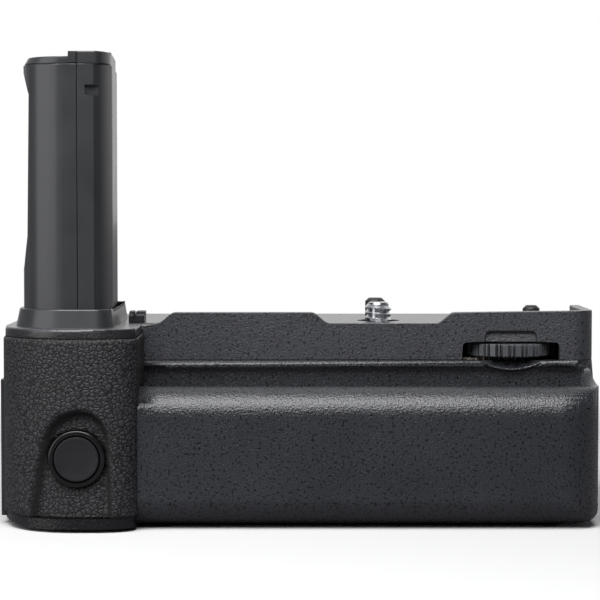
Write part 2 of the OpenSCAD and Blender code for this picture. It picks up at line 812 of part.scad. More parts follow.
module battery_chamber() {
    color("#26272A")
    difference() {
        box([chamber_x, chamber_end + chamber_wall], [tray_y - chamber_half, tray_y + chamber_half],
            [floor_z, chamber_top]);
        box([chamber_x - over, chamber_end], [tray_y - mouth_half, tray_y + mouth_half],
            [chamber_floor, ceiling_z]);
        // Corner that gives way to the case behind the rubber
        box([chamber_x - over, corner_x], [tray_y - chamber_half - over, tray_y - mouth_half + corner_in],
            [floor_z - over, chamber_top + over]);
        rod([0, 0], tripod_bush_r + seat_gap, floor_z - over, chamber_floor + over);
        contact_blades(chamber_end - 1.4, chamber_end + chamber_wall + over, seat_gap);
    }
}

// Row of contact blades that run left to right, grown by g
module contact_blades(x0, x1, g) {
    for (i = [-1, 0, 1])
        box([x0, x1], [tray_y + i * 6 - 1.2 - g, tray_y + i * 6 + 1.2 + g], [bay_z + 5 - g, bay_z + 13 + g]);
}

module chamber_contacts() {
    color("#C9A24A")
    contact_blades(chamber_end - 1.4, chamber_end + chamber_wall + 0.5, 0);
}

module grip_rubber() {
    color("#38383A")
    difference() {
        slab(-case_deep + foot_h, -rim_h, grip_plan(-rubber_out, -rubber_out));
        slab(-case_deep, 0, grip_plan(rubber_in, rubber_in));
        box([-case_left - over, -case_left + grip_r], [rubber_end - skin_gap, case_back + over],
            [-case_deep, 0]);
        box([-case_left, 0], [-deck_front - move_gap, case_back + over], [-case_deep, 0]);
        bulge(-skin_gap, -skin_gap);
        rod_y([-button_x, -button_z], ring_r + skin_gap, -grip_front - 2, 0);
        intersection() {
            difference() {
                slab(-case_deep, 0, grip_plan(-rubber_out - over, 0));
                slab(-case_deep - over, over, grip_plan(arch_deep - rubber_out, 0));
            }
            front_slab(-grip_front - 2, -grip_front + grip_r, arch_outline());
        }
    }
}

module thumb_rubber() {
    color("#38383A")
    intersection() {
        thumb_seat(0);
        box([-case_left, 0], [0, case_back + thumb_out], [-case_deep, 0]);
    }
}

module base_pad() {
    color("#0B0B0C")
    difference() {
        box(pad_x, pad_y, [-case_deep - pad_t, -case_deep]);
        rod([0, 0], tripod_bush_r + skin_gap, -case_deep - pad_t - over, 0);
    }
}

module tripod_bush() {
    color("#B8B9BB")
    difference() {
        rod([0, 0], tripod_bush_r, -case_deep - tripod_out, -case_deep - tripod_out + tripod_l);
        rod([0, 0], screw_d / 2, -case_deep - over, -case_deep + tripod_l + over);
    }
}

// Outside of the tower, or of its hollow when inset
module tower_form(d) {
    intersection() {
        slab(-over, tower_h + over, tower_plan(d, strip_step));
        front_slab(-tower_front - over, tower_back + over, tower_outline(d));
    }
}

// Hollow tower with the bosses for its screws
module tower_shell() {
    difference() {
        union() {
            difference() {
                tower_form(0);
                tower_form(tower_wall);
            }
            intersection() {
                for (p = tower_screws_at) rod(p, tower_boss_r, 0, tower_screw_up + 2);
                tower_form(0);
            }
        }
        for (p = tower_screws_at) rod(p, m2_r + seat_gap, -over, tower_screw_up + seat_gap);
    }
}

module tower_left_shell() {
    color("#47484A")
    intersection() {
        tower_shell();
        box([-case_left, -tower_seam - seam_gap / 2], [-grip_front, case_back], [0, tower_h]);
    }
}

module tower_right_shell() {
    color("#47484A")
    difference() {
        intersection() {
            tower_shell();
            box([-tower_seam + seam_gap / 2, 0], [-grip_front, case_back], [0, tower_h]);
        }
        // Notch in the strip near the top
        box([-tower_right - 3.5 - notch_w, -tower_right - 3.5 + over],
            [-tower_front - over, -tower_front + notch_deep],
            [tower_h - notch_down - notch_h, tower_h - notch_down]);
    }
}

// Contact blades in the top of the tower, grown by g
module tower_blades(g) {
    for (i = [0:contacts - 1])
        box([-tower_right - 5 - contact_t / 2 - g, -tower_right - 5 + contact_t / 2 + g],
            [-14 + i * contact_pitch - 1 - g, -14 + i * contact_pitch + 1 + g],
            [tower_board_z + board_t, tower_h + cap_high - 0.4 + g]);
}

module tower_cap() {
    color("#434446")
    difference() {
        union() {
            slab(tower_h, tower_h + cap_low, tower_plan(move_gap));
            box([-cap_step, -tower_right - move_gap], [-tower_front + cap_in, tower_back - 3],
                [tower_h, tower_h + cap_high]);
            for (p = cap_posts_at) rod(p, cap_post_r, tower_board_z + board_t, tower_h);
        }
        translate([0, 0, over]) tower_blades(skin_gap);
        tower_blades(skin_gap);
        // Grooves over the seam
        box([-tower_seam - cap_groove, -tower_seam + cap_groove],
            [-grip_front, -tower_front + cap_in + cap_groove_deep],
            [tower_h + cap_low, tower_h + cap_high + over]);
        box([-tower_seam - cap_groove, -tower_seam + cap_groove], [-grip_front, case_back],
            [tower_h + cap_high - cap_groove_deep, tower_h + cap_high + over]);
    }
}

module tower_board() {
    color("#2E5A3C")
    box([-tower_left + 2.2, -tower_right - 2], [-tower_front + 6, tower_back - 4],
        [tower_board_z, tower_board_z + board_t]);
}

module tower_contacts() {
    color("#C9A24A")
    tower_blades(0);
}

module tower_screws() {
    color("#8C8D90")
    for (p = tower_screws_at) screw_up(p, -deck_t, deck_t + tower_screw_up);
}

module tower_collar() {
    color("#434446")
    difference() {
        intersection() {
            slab(0, collar_h, tower_plan(-collar_w - door_gap));
            box([-case_left, -tower_right + collar_side + door_gap], [-grip_front, case_back], [0, collar_h]);
        }
        slab(-over, collar_h + over, tower_plan(-door_gap));
    }
}

module lock_wheel() {
    color("#47484A")
    difference() {
        union() {
            translate([wheel_x, -wheel_y, -wheel_z - wheel_t])
                linear_extrude(wheel_t)
                    polygon(wheel_outline());
            rod([wheel_x, -wheel_y], wheel_axle_r + 1.5, -wheel_z, -deck_t - door_gap);
            rod([wheel_x, -wheel_y], pinion_r - dedendum - move_gap, gear_top, -wheel_z - wheel_t);
            gear(0, pinion_teeth);
        }
        rod([wheel_x, -wheel_y], wheel_axle_r + run_gap, gear_bottom - over, 0);
    }
}

module wheel_axle() {
    color("#B8B9BB")
    rod([wheel_x, -wheel_y], wheel_axle_r, frame_top - frame_t, -deck_t / 2 - seat_gap);
}

// Idler gear on its axle
module idler(n) {
    difference() {
        gear(n, idler_teeth);
        rod(train_at(n), idler_axle_r + run_gap, gear_bottom - over, 0);
    }
}

module idler_gear_near() {
    color("#D8D5CC")
    idler(1);
}

module idler_gear_far() {
    color("#D8D5CC")
    idler(2);
}

module idler_axles() {
    color("#B8B9BB")
    for (n = [1, 2]) rod(train_at(n), idler_axle_r, frame_top - frame_t, gear_top);
}

module screw_gear() {
    color("#C9A24A")
    difference() {
        gear(3, screw_teeth);
        rod([0, 0], screw_d / 2 + seat_gap, gear_bottom - over, 0);
    }
}

module camera_screw() {
    color("#C8CACD")
    union() {
        rod([0, 0], screw_d / 2, 0, screw_top - 0.4);
        translate([0, 0, screw_top - 0.4])
            cylinder(r1 = screw_d / 2, r2 = screw_d / 2 - 0.4, h = 0.4);
        rod([0, 0], screw_d / 2 - 0.6, -deck_t - door_gap, 0);
        rod([0, 0], screw_hole_d / 2 + 1.2, -deck_t - door_gap - 1.4, -deck_t - door_gap);
        rod([0, 0], screw_d / 2, gear_bottom, -deck_t - door_gap - 1.4);
        rod([0, 0], screw_foot_r, frame_top - frame_t, gear_bottom);
    }
}

module screw_bush() {
    color("#B5893C")
    difference() {
        rod([0, 0], screw_foot_r + 1.4, frame_top - frame_t, frame_top);
        rod([0, 0], screw_foot_r + run_gap, frame_top - frame_t - over, frame_top + over);
    }
}

module gear_frame() {
    color("#9A9CA0")
    difference() {
        slab(frame_top - frame_t, frame_top, frame_outline());
        rod([0, 0], screw_foot_r + 1.4 + seat_gap, -case_deep, 0);
        for (n = [1, 2]) rod(train_at(n), idler_axle_r + seat_gap, -case_deep, 0);
        rod([wheel_x, -wheel_y], wheel_axle_r + seat_gap, -case_deep, 0);
        for (p = frame_posts) rod(p, m2_free_r, -case_deep, 0);
    }
}

module frame_screws() {
    color("#8C8D90")
    for (p = frame_posts) screw_up(p, frame_top - frame_t, frame_t + frame_grip);
}

// Pin with a rounded top and a stem pressed into the deck
module index_pin(at, d, h) {
    rod(at, d / 2, 0, h - 0.8);
    translate([at[0], at[1], h - 0.8])
        cylinder(r1 = d / 2, r2 = d / 2 - 0.8, h = 0.8);
    rod(at, d / 4, -deck_t, 0);
}

module index_pin_rear() {
    color("#2F2F31")
    index_pin([-0.5, pin_y], pin_d, pin_h);
}

module index_pin_right() {
    color("#2F2F31")
    index_pin([side_pin_x, 4], side_pin_d, side_pin_h);
}

module door_clip() {
    color("#1D1D1F")
    difference() {
        union() {
            box(clip_x, [clip_y[0], clip_y[1]], [0, clip_low]);
            box(clip_x, [clip_y[1], clip_y[2]], [0, clip_high]);
        }
        box([clip_x[0] + 1.2, clip_x[0] + 1.2 + clip_slot], [clip_y[0] - over, clip_y[2] + over],
            [clip_low / 2, clip_high + over]);
    }
}

module shutter_button() {
    color("#333335")
    union() {
        rod_y([-button_x, -button_z], button_r, button_front, flange_back);
        rod_y([-button_x, -button_z], flange_r, flange_back - flange_t, flange_back);
    }
}

module shutter_ring() {
    color("#1D1D1F")
    difference() {
        rod_y([-button_x, -button_z], ring_r, ring_front, case_inner);
        rod_y([-button_x, -button_z], button_r + 0.15, ring_front - over, case_inner + over);
    }
}

module shutter_switch() {
    color("#B8B9BB")
    union() {
        box([-button_x - switch_w / 2, -button_x + switch_w / 2],
            [shutter_board_y - switch_t, shutter_board_y],
            [-button_z - switch_w / 2, -button_z + switch_w / 2]);
        rod_y([-button_x, -button_z], 1.7, switch_front, shutter_board_y - switch_t);
    }
}

module shutter_board() {
    color("#2E5A3C")
    difference() {
        box([-button_x - shutter_board_w / 2, -button_x + shutter_board_w / 2],
            [shutter_board_y, shutter_board_y + board_t],
            [-button_z - shutter_board_h / 2, -button_z + shutter_board_h / 2]);
        for (s = [-1, 1])
            rod_y([-button_x, -button_z + s * shutter_post], m2_free_r,
                shutter_board_y - over, shutter_board_y + board_t + over);
    }
}

module shutter_screws() {
    color("#8C8D90")
    for (s = [-1, 1]) {
        rod_y([-button_x, -button_z + s * shutter_post], m2_r, shutter_board_y - shutter_screw_in,
            shutter_board_y + board_t);
        rod_y([-button_x, -button_z + s * shutter_post], m2_head_r, shutter_board_y + board_t,
            shutter_board_y + board_t + m2_head_h);
    }
}

module battery_tray() {
    color("#1F2023")
    difference() {
        box([tray_x, tray_end], [tray_y - tray_half, tray_y + tray_half], [tray_bottom, tray_top]);
        box([tray_x - over, tray_x + latch_room], [tray_y - bay_w / 2, tray_y + bay_w / 2], [bay_z + 6, 0]);
        box([tray_x - over, tray_x + latch_room], [tray_y - 12.5, tray_y + 12.5], [bay_z, 0]);
        for (i = [0, 1])
            box([bay_x + i * (bay_l + tray_wall), bay_x + i * (bay_l + tray_wall) + bay_l],
                [tray_y - bay_w / 2, tray_y + bay_w / 2], [bay_z, 0]);
        for (i = [0, 1])
            contact_blades(bay_x + bay_l + i * (bay_l + tray_wall) - over,
                bay_x + bay_l + i * (bay_l + tray_wall) + tray_wall + over, seat_gap);
        for (p = door_screws_at) rod_x(p, m2_r + seat_gap, tray_x - over, tray_x + door_screw_in + skin_gap);
    }
}

module tray_contacts() {
    color("#C9A24A")
    for (i = [0, 1])
        contact_blades(bay_x + bay_l + i * (bay_l + tray_wall) - 0.4,
            bay_x + bay_l + i * (bay_l + tray_wall) + tray_wall + 0.6, 0);
}

module tray_door() {
    color("#2A2B2E")
    difference() {
        union() {
            box([door_x, tray_x], [tray_y - door_half, tray_y + door_half], [door_bottom, door_top]);
            rod_x([tray_y, latch_z], latch_shaft_r + 2.5, tray_x, tongue_x - move_gap);
        }
        rod_x([tray_y, latch_z], latch_r + move_gap, door_x - over, door_x + latch_deep);
        rod_x([tray_y, latch_z], latch_shaft_r + run_gap, door_x, tongue_x);
        for (p = door_screws_at) {
            rod_x(p, m2_free_r, door_x - over, tray_x + over);
            rod_x(p, m2_head_r + skin_gap, door_x - over, door_x + m2_head_h);
        }
    }
}

module door_screws() {
    color("#8C8D90")
    for (p = door_screws_at) {
        rod_x(p, m2_head_r, door_x + 0.2, door_x + m2_head_h);
        rod_x(p, m2_r, door_x + m2_head_h, tray_x + door_screw_in);
    }
}

module latch_knob() {
    color("#47484A")
    union() {
        rod_x([tray_y, latch_z], latch_r, door_x + 0.3, door_x + latch_deep - 0.1);
        box([door_x, door_x + 0.4], [tray_y - latch_r + 1.5, tray_y + latch_r - 1.5],
            [latch_z - 1.5, latch_z + 1.5]);
        rod_x([tray_y, latch_z], latch_shaft_r, door_x + latch_deep - 0.1, tongue_x + tongue_t);
    }
}

module latch_tongue() {
    color("#B8B9BB")
    difference() {
        union() {
            rod_x([tray_y, latch_z], latch_shaft_r + 1.6, tongue_x, tongue_x + tongue_t);
            box([tongue_x, tongue_x + tongue_t], [tray_y, tray_y + tongue_l - tongue_w / 2],
                [latch_z - tongue_w / 2, latch_z + tongue_w / 2]);
            rod_x([tray_y + tongue_l - tongue_w / 2, latch_z], tongue_w / 2, tongue_x, tongue_x + tongue_t);
        }
        rod_x([tray_y, latch_z], latch_shaft_r + seat_gap, tongue_x - over, tongue_x + tongue_t + over);
    }
}

module main_board() {
    color("#2E5A3C")
    difference() {
        box(main_board_x, main_board_y, [board_z - board_t, board_z]);
        for (p = board_posts) rod(p, m2_free_r, board_z - board_t - over, board_z + over);
    }
}

module board_screws() {
    color("#8C8D90")
    for (p = board_posts) screw_up(p, board_z - board_t, board_t + 4);
}

module case_screws() {
    color("#8C8D90")
    for (p = case_posts) screw_up(p, floor_z + p[2], -floor_z - p[2] - deck_t - 2);
}

upper_case();
lower_case();
battery_chamber();
grip_rubber();
thumb_rubber();
base_pad();
tower_collar();
tower_left_shell();
tower_right_shell();
tower_cap();
tower_board();
tower_contacts();
tower_screws();
lock_wheel();
wheel_axle();
idler_gear_near();
idler_gear_far();
idler_axles();
screw_gear();
camera_screw();
screw_bush();
gear_frame();
frame_screws();
index_pin_rear();
index_pin_right();
door_clip();
shutter_button();
shutter_ring();
shutter_switch();
shutter_board();
shutter_screws();
battery_tray();
tray_door();
door_screws();
tray_contacts();
latch_knob();
latch_tongue();
chamber_contacts();
main_board();
board_screws();
tripod_bush();
case_screws();
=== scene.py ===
"""Dressed scene of a camera battery grip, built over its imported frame.

Sizes are in millimetres in the frame's own axes: +X towards the right end, +Y towards the
back, +Z up out of the deck, with the origin on the camera screw's axis at the deck.
"""

import logging
import math
from dataclasses import dataclass
from enum import Enum
from typing import Callable, Optional, Sequence, Union

import bmesh
import bpy
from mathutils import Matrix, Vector


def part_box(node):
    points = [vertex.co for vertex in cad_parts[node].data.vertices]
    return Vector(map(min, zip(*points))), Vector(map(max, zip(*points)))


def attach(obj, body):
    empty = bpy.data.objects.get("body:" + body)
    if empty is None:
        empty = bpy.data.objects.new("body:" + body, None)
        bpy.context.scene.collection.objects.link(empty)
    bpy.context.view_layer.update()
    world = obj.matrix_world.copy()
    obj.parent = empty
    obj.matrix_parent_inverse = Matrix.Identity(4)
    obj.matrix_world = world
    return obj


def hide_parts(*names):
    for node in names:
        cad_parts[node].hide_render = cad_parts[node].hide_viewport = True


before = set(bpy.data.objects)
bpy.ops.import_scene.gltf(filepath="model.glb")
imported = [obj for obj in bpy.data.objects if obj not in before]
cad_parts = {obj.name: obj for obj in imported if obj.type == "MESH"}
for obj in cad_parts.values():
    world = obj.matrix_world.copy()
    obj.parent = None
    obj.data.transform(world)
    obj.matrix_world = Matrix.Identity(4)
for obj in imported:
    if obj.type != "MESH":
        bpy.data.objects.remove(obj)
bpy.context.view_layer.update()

MM = 0.001
WHITE = "#FFFFFF"
SMOOTH = "SMOOTHSTEP"
LOG = logging.getLogger("battery_grip")

Pair = tuple[float, float]
Triple = tuple[float, float, float]
Shape = bmesh.types.BMesh
Tree = bpy.types.NodeTree
Node = bpy.types.Node
Socket = bpy.types.NodeSocket
Source = Union[Node, Socket, float, Sequence[float]]
Pick = Callable[[Vector], bool]


class Axis(Enum):
    """Directions that planes face and round pieces turn about."""

    X = 0
    Y = 1
    Z = 2


def linear(code: str) -> tuple[float, float, float, float]:
    """Turn an sRGB hex colour into linear light.

    Args:
        code: colour such as "#45464B".

    Returns:
        Red, green, blue and an alpha of 1.
    """
    parts = [int(code[i : i + 2], 16) / 255 for i in (1, 3, 5)]
    light = [c / 12.92 if c <= 0.04045 else ((c + 0.055) / 1.055) ** 2.4 for c in parts]
    return (light[0], light[1], light[2], 1.0)


def per_metre(size: float) -> float:
    """Return the pattern scale whose features are about that many millimetres across."""
    return 1.0 / (size * MM)


def ease(t: float) -> float:
    """Return a smooth step from 0 to 1 as t goes from 0 to 1."""
    t = min(1.0, max(0.0, t))
    return t * t * (3.0 - 2.0 * t)


def feed(tree: Tree, node: Node, inputs: dict[Union[str, int], Source]) -> None:
    """Set the inputs of a node.

    Args:
        tree: node tree that holds the node.
        node: the node.
        inputs: socket name or number, with a value, an output socket or a node, whose first output is meant.
    """
    for key, value in inputs.items():
        source = value.outputs[0] if isinstance(value, Node) else value
        if isinstance(source, Socket):
            tree.links.new(source, node.inputs[key])
        else:
            node.inputs[key].default_value = source


def add_node(tree: Tree, kind: str, inputs: Optional[dict] = None, **settings: str) -> Node:
    """Add a node with its settings, values and links.

    Args:
        tree: node tree that takes the node.
        kind: the node's type name.
        inputs: what feed takes.
        settings: properties of the node itself.

    Returns:
        The new node.
    """
    node = tree.nodes.new(kind)
    for key, value in settings.items():
        setattr(node, key, value)
    feed(tree, node, inputs or {})
    return node


def ramp(tree: Tree, factor: Source, low: tuple[float, str], high: tuple[float, str]) -> Node:
    """Add a colour ramp between two stops.

    Args:
        tree: node tree that takes the ramp.
        factor: what drives it.
        low: place from 0 to 1 and hex colour of the first stop.
        high: the same of the second stop.

    Returns:
        The ramp node.
    """
    node = add_node(tree, "ShaderNodeValToRGB", {"Fac": factor})
    for stop, (at, code) in zip(node.color_ramp.elements, (low, high)):
        stop.position = at
        stop.color = linear(code)
    return node


def noise(tree: Tree, spot: Source, size: float, detail: float = 2.0, roughness: float = 0.5) -> Node:
    """Add a noise texture whose features are about size millimetres across."""
    values = {"Vector": spot, "Scale": per_metre(size), "Detail": detail, "Roughness": roughness}
    return add_node(tree, "ShaderNodeTexNoise", values)


def remap(tree: Tree, value: Source, given: Pair, wanted: Pair, way: str = "LINEAR") -> Node:
    """Add a node that turns a given range of values into a wanted one."""
    ends = {"From Min": given[0], "From Max": given[1], "To Min": wanted[0], "To Max": wanted[1]}
    return add_node(tree, "ShaderNodeMapRange", {"Value": value, **ends}, interpolation_type=way)


def blend(tree: Tree, share: Source, first: Source, second: Source, way: str = "MIX") -> Socket:
    """Add a node that mixes two colours by the second one's share, and return the colour."""
    colours = {0: share, 6: first, 7: second}
    return add_node(tree, "ShaderNodeMix", colours, data_type="RGBA", blend_type=way).outputs[2]


def calc(tree: Tree, what: str, *values: Source) -> Node:
    """Add a node that works out one number, such as "MULTIPLY", from its values."""
    return add_node(tree, "ShaderNodeMath", dict(enumerate(values)), operation=what)


def bump(tree: Tree, strength: Source, relief: float, height: Source) -> Node:
    """Add a node that bends the light by a pattern's height, with relief in millimetres."""
    return add_node(tree, "ShaderNodeBump", {"Strength": strength, "Distance": relief * MM, "Height": height})


@dataclass(frozen=True)
class Finish:
    """A plain finish; the kinds below add their own pattern.

    Attributes:
        name: material and process, as a maker says it.
        slot: the record's material slot; not used.
        colour: main colour in sRGB hex.
        roughness: spread of the gloss.
        metallic: 1 for bare metal.
        specular: strength of the surface reflection.
    """

    name: str
    slot: str
    colour: str
    roughness: float
    metallic: float = 0.0
    specular: float = 0.5

    def material(self) -> bpy.types.Material:
        """Return this finish as a material, made once.

        Returns:
            The material.
        """
        made = bpy.data.materials.get(self.name)
        if made is None:
            made = bpy.data.materials.new(self.name)
            made.use_nodes = True
            made.diffuse_color = linear(self.colour)
            tree = made.node_tree
            plain = {
                "Base Color": linear(self.colour),
                "Roughness": self.roughness,
                "Metallic": self.metallic,
                "Specular IOR Level": self.specular,
            }
            spot = add_node(tree, "ShaderNodeTexCoord").outputs["Object"]
            for inputs in (plain, self.pattern(tree, spot)):
                feed(tree, tree.nodes["Principled BSDF"], inputs)
        return made

    def pattern(self, tree: Tree, spot: Socket) -> dict[str, Source]:
        """Return the shader inputs that make this finish's pattern. A plain finish has none."""
        return {}

    def spread(self, tree: Tree, value: Node, given: Pair, change: Pair) -> Node:
        """Return a roughness that goes by a change, low to high, as a value goes over its range."""
        return remap(tree, value, given, (self.roughness + change[0], self.roughness + change[1]))


@dataclass(frozen=True)
class SpatterPaint(Finish):
    """Spatter paint on a cast shell: a fine pebbled coat with dark pits that sparkle where light rakes it.

    Attributes:
        pit: colour of the pits, and of the marked band round the grip, which is partly a smooth black finish and partly
            painted shade.
        grain: width of a pebble; drawn about twice as coarse as the real coat, so that it shows.
        pit_size: width of a pit.
        drift: width of the slow change of tone.
        relief: height of the pebbles.
        coat: share of a clear coat over the pebbles.
    """

    pit: str = "#070709"
    grain: float = 0.48
    pit_size: float = 0.62
    drift: float = 14.0
    relief: float = 0.18
    coat: float = 0.0

    def pattern(self, tree: Tree, spot: Socket) -> dict[str, Source]:
        """Return pebbles, scattered pits and a slow change of tone.

        Args:
            tree: the material's node tree.
            spot: coordinates on the piece.

        Returns:
            The shader's inputs.
        """
        pebble = noise(tree, spot, self.grain, roughness=0.55)
        pits = noise(tree, spot, self.pit_size, detail=1.0, roughness=0.4)
        paint = ramp(tree, pits, (0.35, self.pit), (0.41, self.colour))
        tone = ramp(tree, noise(tree, spot, self.drift), (0.3, "#E2E2E4"), (0.7, WHITE))
        band = add_node(tree, "ShaderNodeAttribute", attribute_name="black_and_shaded_band").outputs["Fac"]
        return {
            # Faces of the marked band take the pit colour: partly a smooth black finish, partly painted shade.
            "Base Color": blend(tree, band, blend(tree, 1.0, paint, tone, "MULTIPLY"), linear(self.pit)),
            "Roughness": self.spread(tree, pebble, (0.3, 0.7), (0.12, -0.08)),
            "Normal": bump(tree, strength=0.9, relief=self.relief, height=pebble),
            "Coat Weight": self.coat,
            "Coat Roughness": 0.22,
        }


@dataclass(frozen=True)
class LeatherGrain(Finish):
    """Rubber moulded against a leather-grain tool: soft pebbles parted by thin darker creases.

    Attributes:
        crease: colour in the creases.
        smooth_shaded: colour of the recess's marked sloped sides, which are ungrained and drawn darker as painted
            shade.
        cell: width of a pebble.
        warp: width of the waves that bend the creases, and how far they bend.
        fine: width of the fine tooth on the pebbles, and its share of the height.
        relief: depth of a crease.
    """

    crease: str = "#0C0C0D"
    smooth_shaded: str = "#19191A"
    cell: float = 1.05
    warp: Pair = (1.3, 0.9)
    fine: Pair = (0.35, 0.45)
    relief: float = 0.12

    def pattern(self, tree: Tree, spot: Socket) -> dict[str, Source]:
        """Return warped pebbles and creases in colour and relief.

        Args:
            tree: the material's node tree.
            spot: coordinates on the piece.

        Returns:
            The shader's inputs.
        """
        wave = noise(tree, spot, self.warp[0]).outputs["Color"]
        bent = {0: wave, 1: [self.warp[1] * MM] * 3, 2: spot}
        shift = add_node(tree, "ShaderNodeVectorMath", bent, operation="MULTIPLY_ADD")
        web = {"Vector": shift, "Scale": per_metre(self.cell), "Randomness": 1.0}
        cells = add_node(tree, "ShaderNodeTexVoronoi", web, feature="DISTANCE_TO_EDGE")
        pebble = remap(tree, cells.outputs["Distance"], (0.01, 0.24), (0.0, 1.0), SMOOTH)
        height = calc(tree, "MULTIPLY_ADD", noise(tree, spot, self.fine[0]), self.fine[1], pebble)
        tint = ramp(tree, pebble, (0.0, self.crease), (0.55, self.colour))
        bare_shaded = add_node(tree, "ShaderNodeAttribute", attribute_name="bare_shaded_rubber").outputs["Fac"]
        return {
            # The recess's marked sides lose most of the grain and take a darker colour; the darker colour is painted
            # shade.
            "Base Color": blend(tree, bare_shaded, tint, linear(self.smooth_shaded)),
            "Normal": bump(tree, remap(tree, bare_shaded, (0.0, 1.0), (0.9, 0.25)), self.relief, height),
        }


@dataclass(frozen=True)
class MouldedPlastic(Finish):
    """Plastic from a spark-eroded tool: an even satin with a very fine tooth.

    Attributes:
        tooth: width of the tool's texture; drawn coarse enough to show.
        drift: width of the slow change of tone and gloss.
        relief: height of the texture.
        strength: how far the texture bends the light.
        skin: share of the glossy skin that moulding leaves.
    """

    tooth: float = 0.3
    drift: float = 9.0
    relief: float = 0.012
    strength: float = 0.25
    skin: float = 0.0

    def pattern(self, tree: Tree, spot: Socket) -> dict[str, Source]:
        """Return the tool's texture and a slight change of tone and gloss.

        Args:
            tree: the material's node tree.
            spot: coordinates on the piece.

        Returns:
            The shader's inputs.
        """
        tone = noise(tree, spot, self.drift, detail=3.0)
        shade = ramp(tree, tone, (0.3, "#E6E6E6"), (0.7, WHITE))
        return {
            "Base Color": blend(tree, 1.0, linear(self.colour), shade, "MULTIPLY"),
            "Roughness": self.spread(tree, tone, (0.3, 0.7), (-0.03, 0.04)),
            "Normal": bump(tree, self.strength, self.relief, noise(tree, spot, self.tooth)),
            "Coat Weight": self.skin,
            "Coat Roughness": 0.2,
        }


@dataclass(frozen=True)
class TurnedMetal(Finish):
    """Metal cut on a lathe or rolled: bare and bright, with fine tool lines that vary its gloss.

    Attributes:
        metallic: 1, since all of these are bare metal.
        line: length of a tool line, and distance between two.
        patch: width of the duller patches.
        worn: colour of those patches.
    """

    metallic: float = 1.0
    line: Pair = (2.4, 0.18)
    patch: float = 3.0
    worn: str = "#8A8A8C"

    def pattern(self, tree: Tree, spot: Socket) -> dict[str, Source]:
        """Return tool lines and duller patches.

        Args:
            tree: the material's node tree.
            spot: coordinates on the piece.

        Returns:
            The shader's inputs.
        """
        along, across = (per_metre(size) for size in self.line)
        stretch = add_node(tree, "ShaderNodeMapping", {"Vector": spot, "Scale": (along, along, across)})
        lines = add_node(tree, "ShaderNodeTexNoise", {"Vector": stretch, "Scale": 1.0, "Detail": 2.0})
        patches = noise(tree, spot, self.patch, detail=3.0)
        return {
            "Base Color": ramp(tree, patches, (0.3, self.worn), (0.55, self.colour)),
            "Roughness": self.spread(tree, lines, (0.25, 0.75), (-0.05, 0.1)),
        }


class Finishes:
    """The finishes of the grip, each named for its material and how it was made."""

    # The deck's paint is drawn lighter than the body's, though both fill the one case_paint slot.
    deck_paint = SpatterPaint("cast_alloy_spatter_paint_deck", "case_paint", "#36373C", 0.42, specular=0.7, coat=0.45)
    body_paint = SpatterPaint("cast_alloy_spatter_paint_body", "case_paint", "#2D2E32", 0.27, specular=0.6, relief=0.19)
    grip_rubber = LeatherGrain("rubber_moulded_leather_grain", "grip_rubber", "#303032", 0.55, specular=0.35)
    tower_abs = MouldedPlastic("abs_moulded_satin", "tower_plastic", "#2E2F31", 0.42, specular=0.4, skin=0.4)
    trim_abs = MouldedPlastic("abs_moulded_black_satin", "trim_plastic", "#2A2A2C", 0.38, specular=0.45)
    wheel_abs = MouldedPlastic("abs_moulded_wheel", "tower_plastic", "#505154", 0.3, specular=0.45)
    button_abs = MouldedPlastic("abs_moulded_button", "trim_plastic", "#242426", 0.3, specular=0.45, strength=0.1)
    ring_abs = MouldedPlastic("abs_moulded_black_gloss", "trim_plastic", "#101011", 0.22, specular=0.45, strength=0.05)
    inner_abs = MouldedPlastic("abs_moulded_inner_matte", "inner_plastic", "#1B1C1E", 0.6, specular=0.35)
    pad_rubber = MouldedPlastic("rubber_moulded_matte_pad", "pad_rubber", "#0B0B0C", 0.75, specular=0.25, tooth=0.5)
    # Drawn darker than natural acetal, as painted shade on the gear seen through the wheel's window.
    acetal = MouldedPlastic("acetal_moulded_natural_shaded", "gear_plastic", "#A8A397", 0.4)
    chrome = TurnedMetal("steel_turned_chrome_plated", "chrome", "#DCDDDF", 0.2, worn="#B4B5B8")
    steel = TurnedMetal("steel_rolled_zinc_plated", "steel", "#A9AAAD", 0.3)
    brass = TurnedMetal("brass_turned", "brass", "#C9A24A", 0.28, worn="#9C7B34")
    gold = TurnedMetal("copper_stamped_gold_plated", "brass", "#D9B25A", 0.22, worn="#B88F3C")
    solder_mask = MouldedPlastic("glass_epoxy_board_green_mask", "board", "#1F4A30", 0.35, tooth=0.8)


def cad_copy(node: str) -> Shape:
    """Copy a CAD node into a mesh with shared corners and whole flat faces.

    Args:
        node: name of the node.

    Returns:
        The mesh, in metres.
    """
    shape = bmesh.new()
    shape.from_mesh(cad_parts[node].data)
    bmesh.ops.remove_doubles(shape, verts=shape.verts, dist=2e-6)
    bmesh.ops.dissolve_limit(shape, angle_limit=math.radians(0.6), verts=shape.verts, edges=shape.edges)
    return shape


def split(shape: Shape, axis: Axis, places: Sequence[float]) -> None:
    """Split the faces of a mesh at planes, so that shading stays even along roundings.

    Args:
        shape: mesh to change.
        axis: direction that the planes face.
        places: where the planes are, in millimetres.
    """
    facing = [1.0 if k == axis.value else 0.0 for k in range(3)]
    for at in places:
        whole = shape.verts[:] + shape.edges[:] + shape.faces[:]
        bmesh.ops.bisect_plane(shape, geom=whole, plane_co=[c * at * MM for c in facing], plane_no=facing)


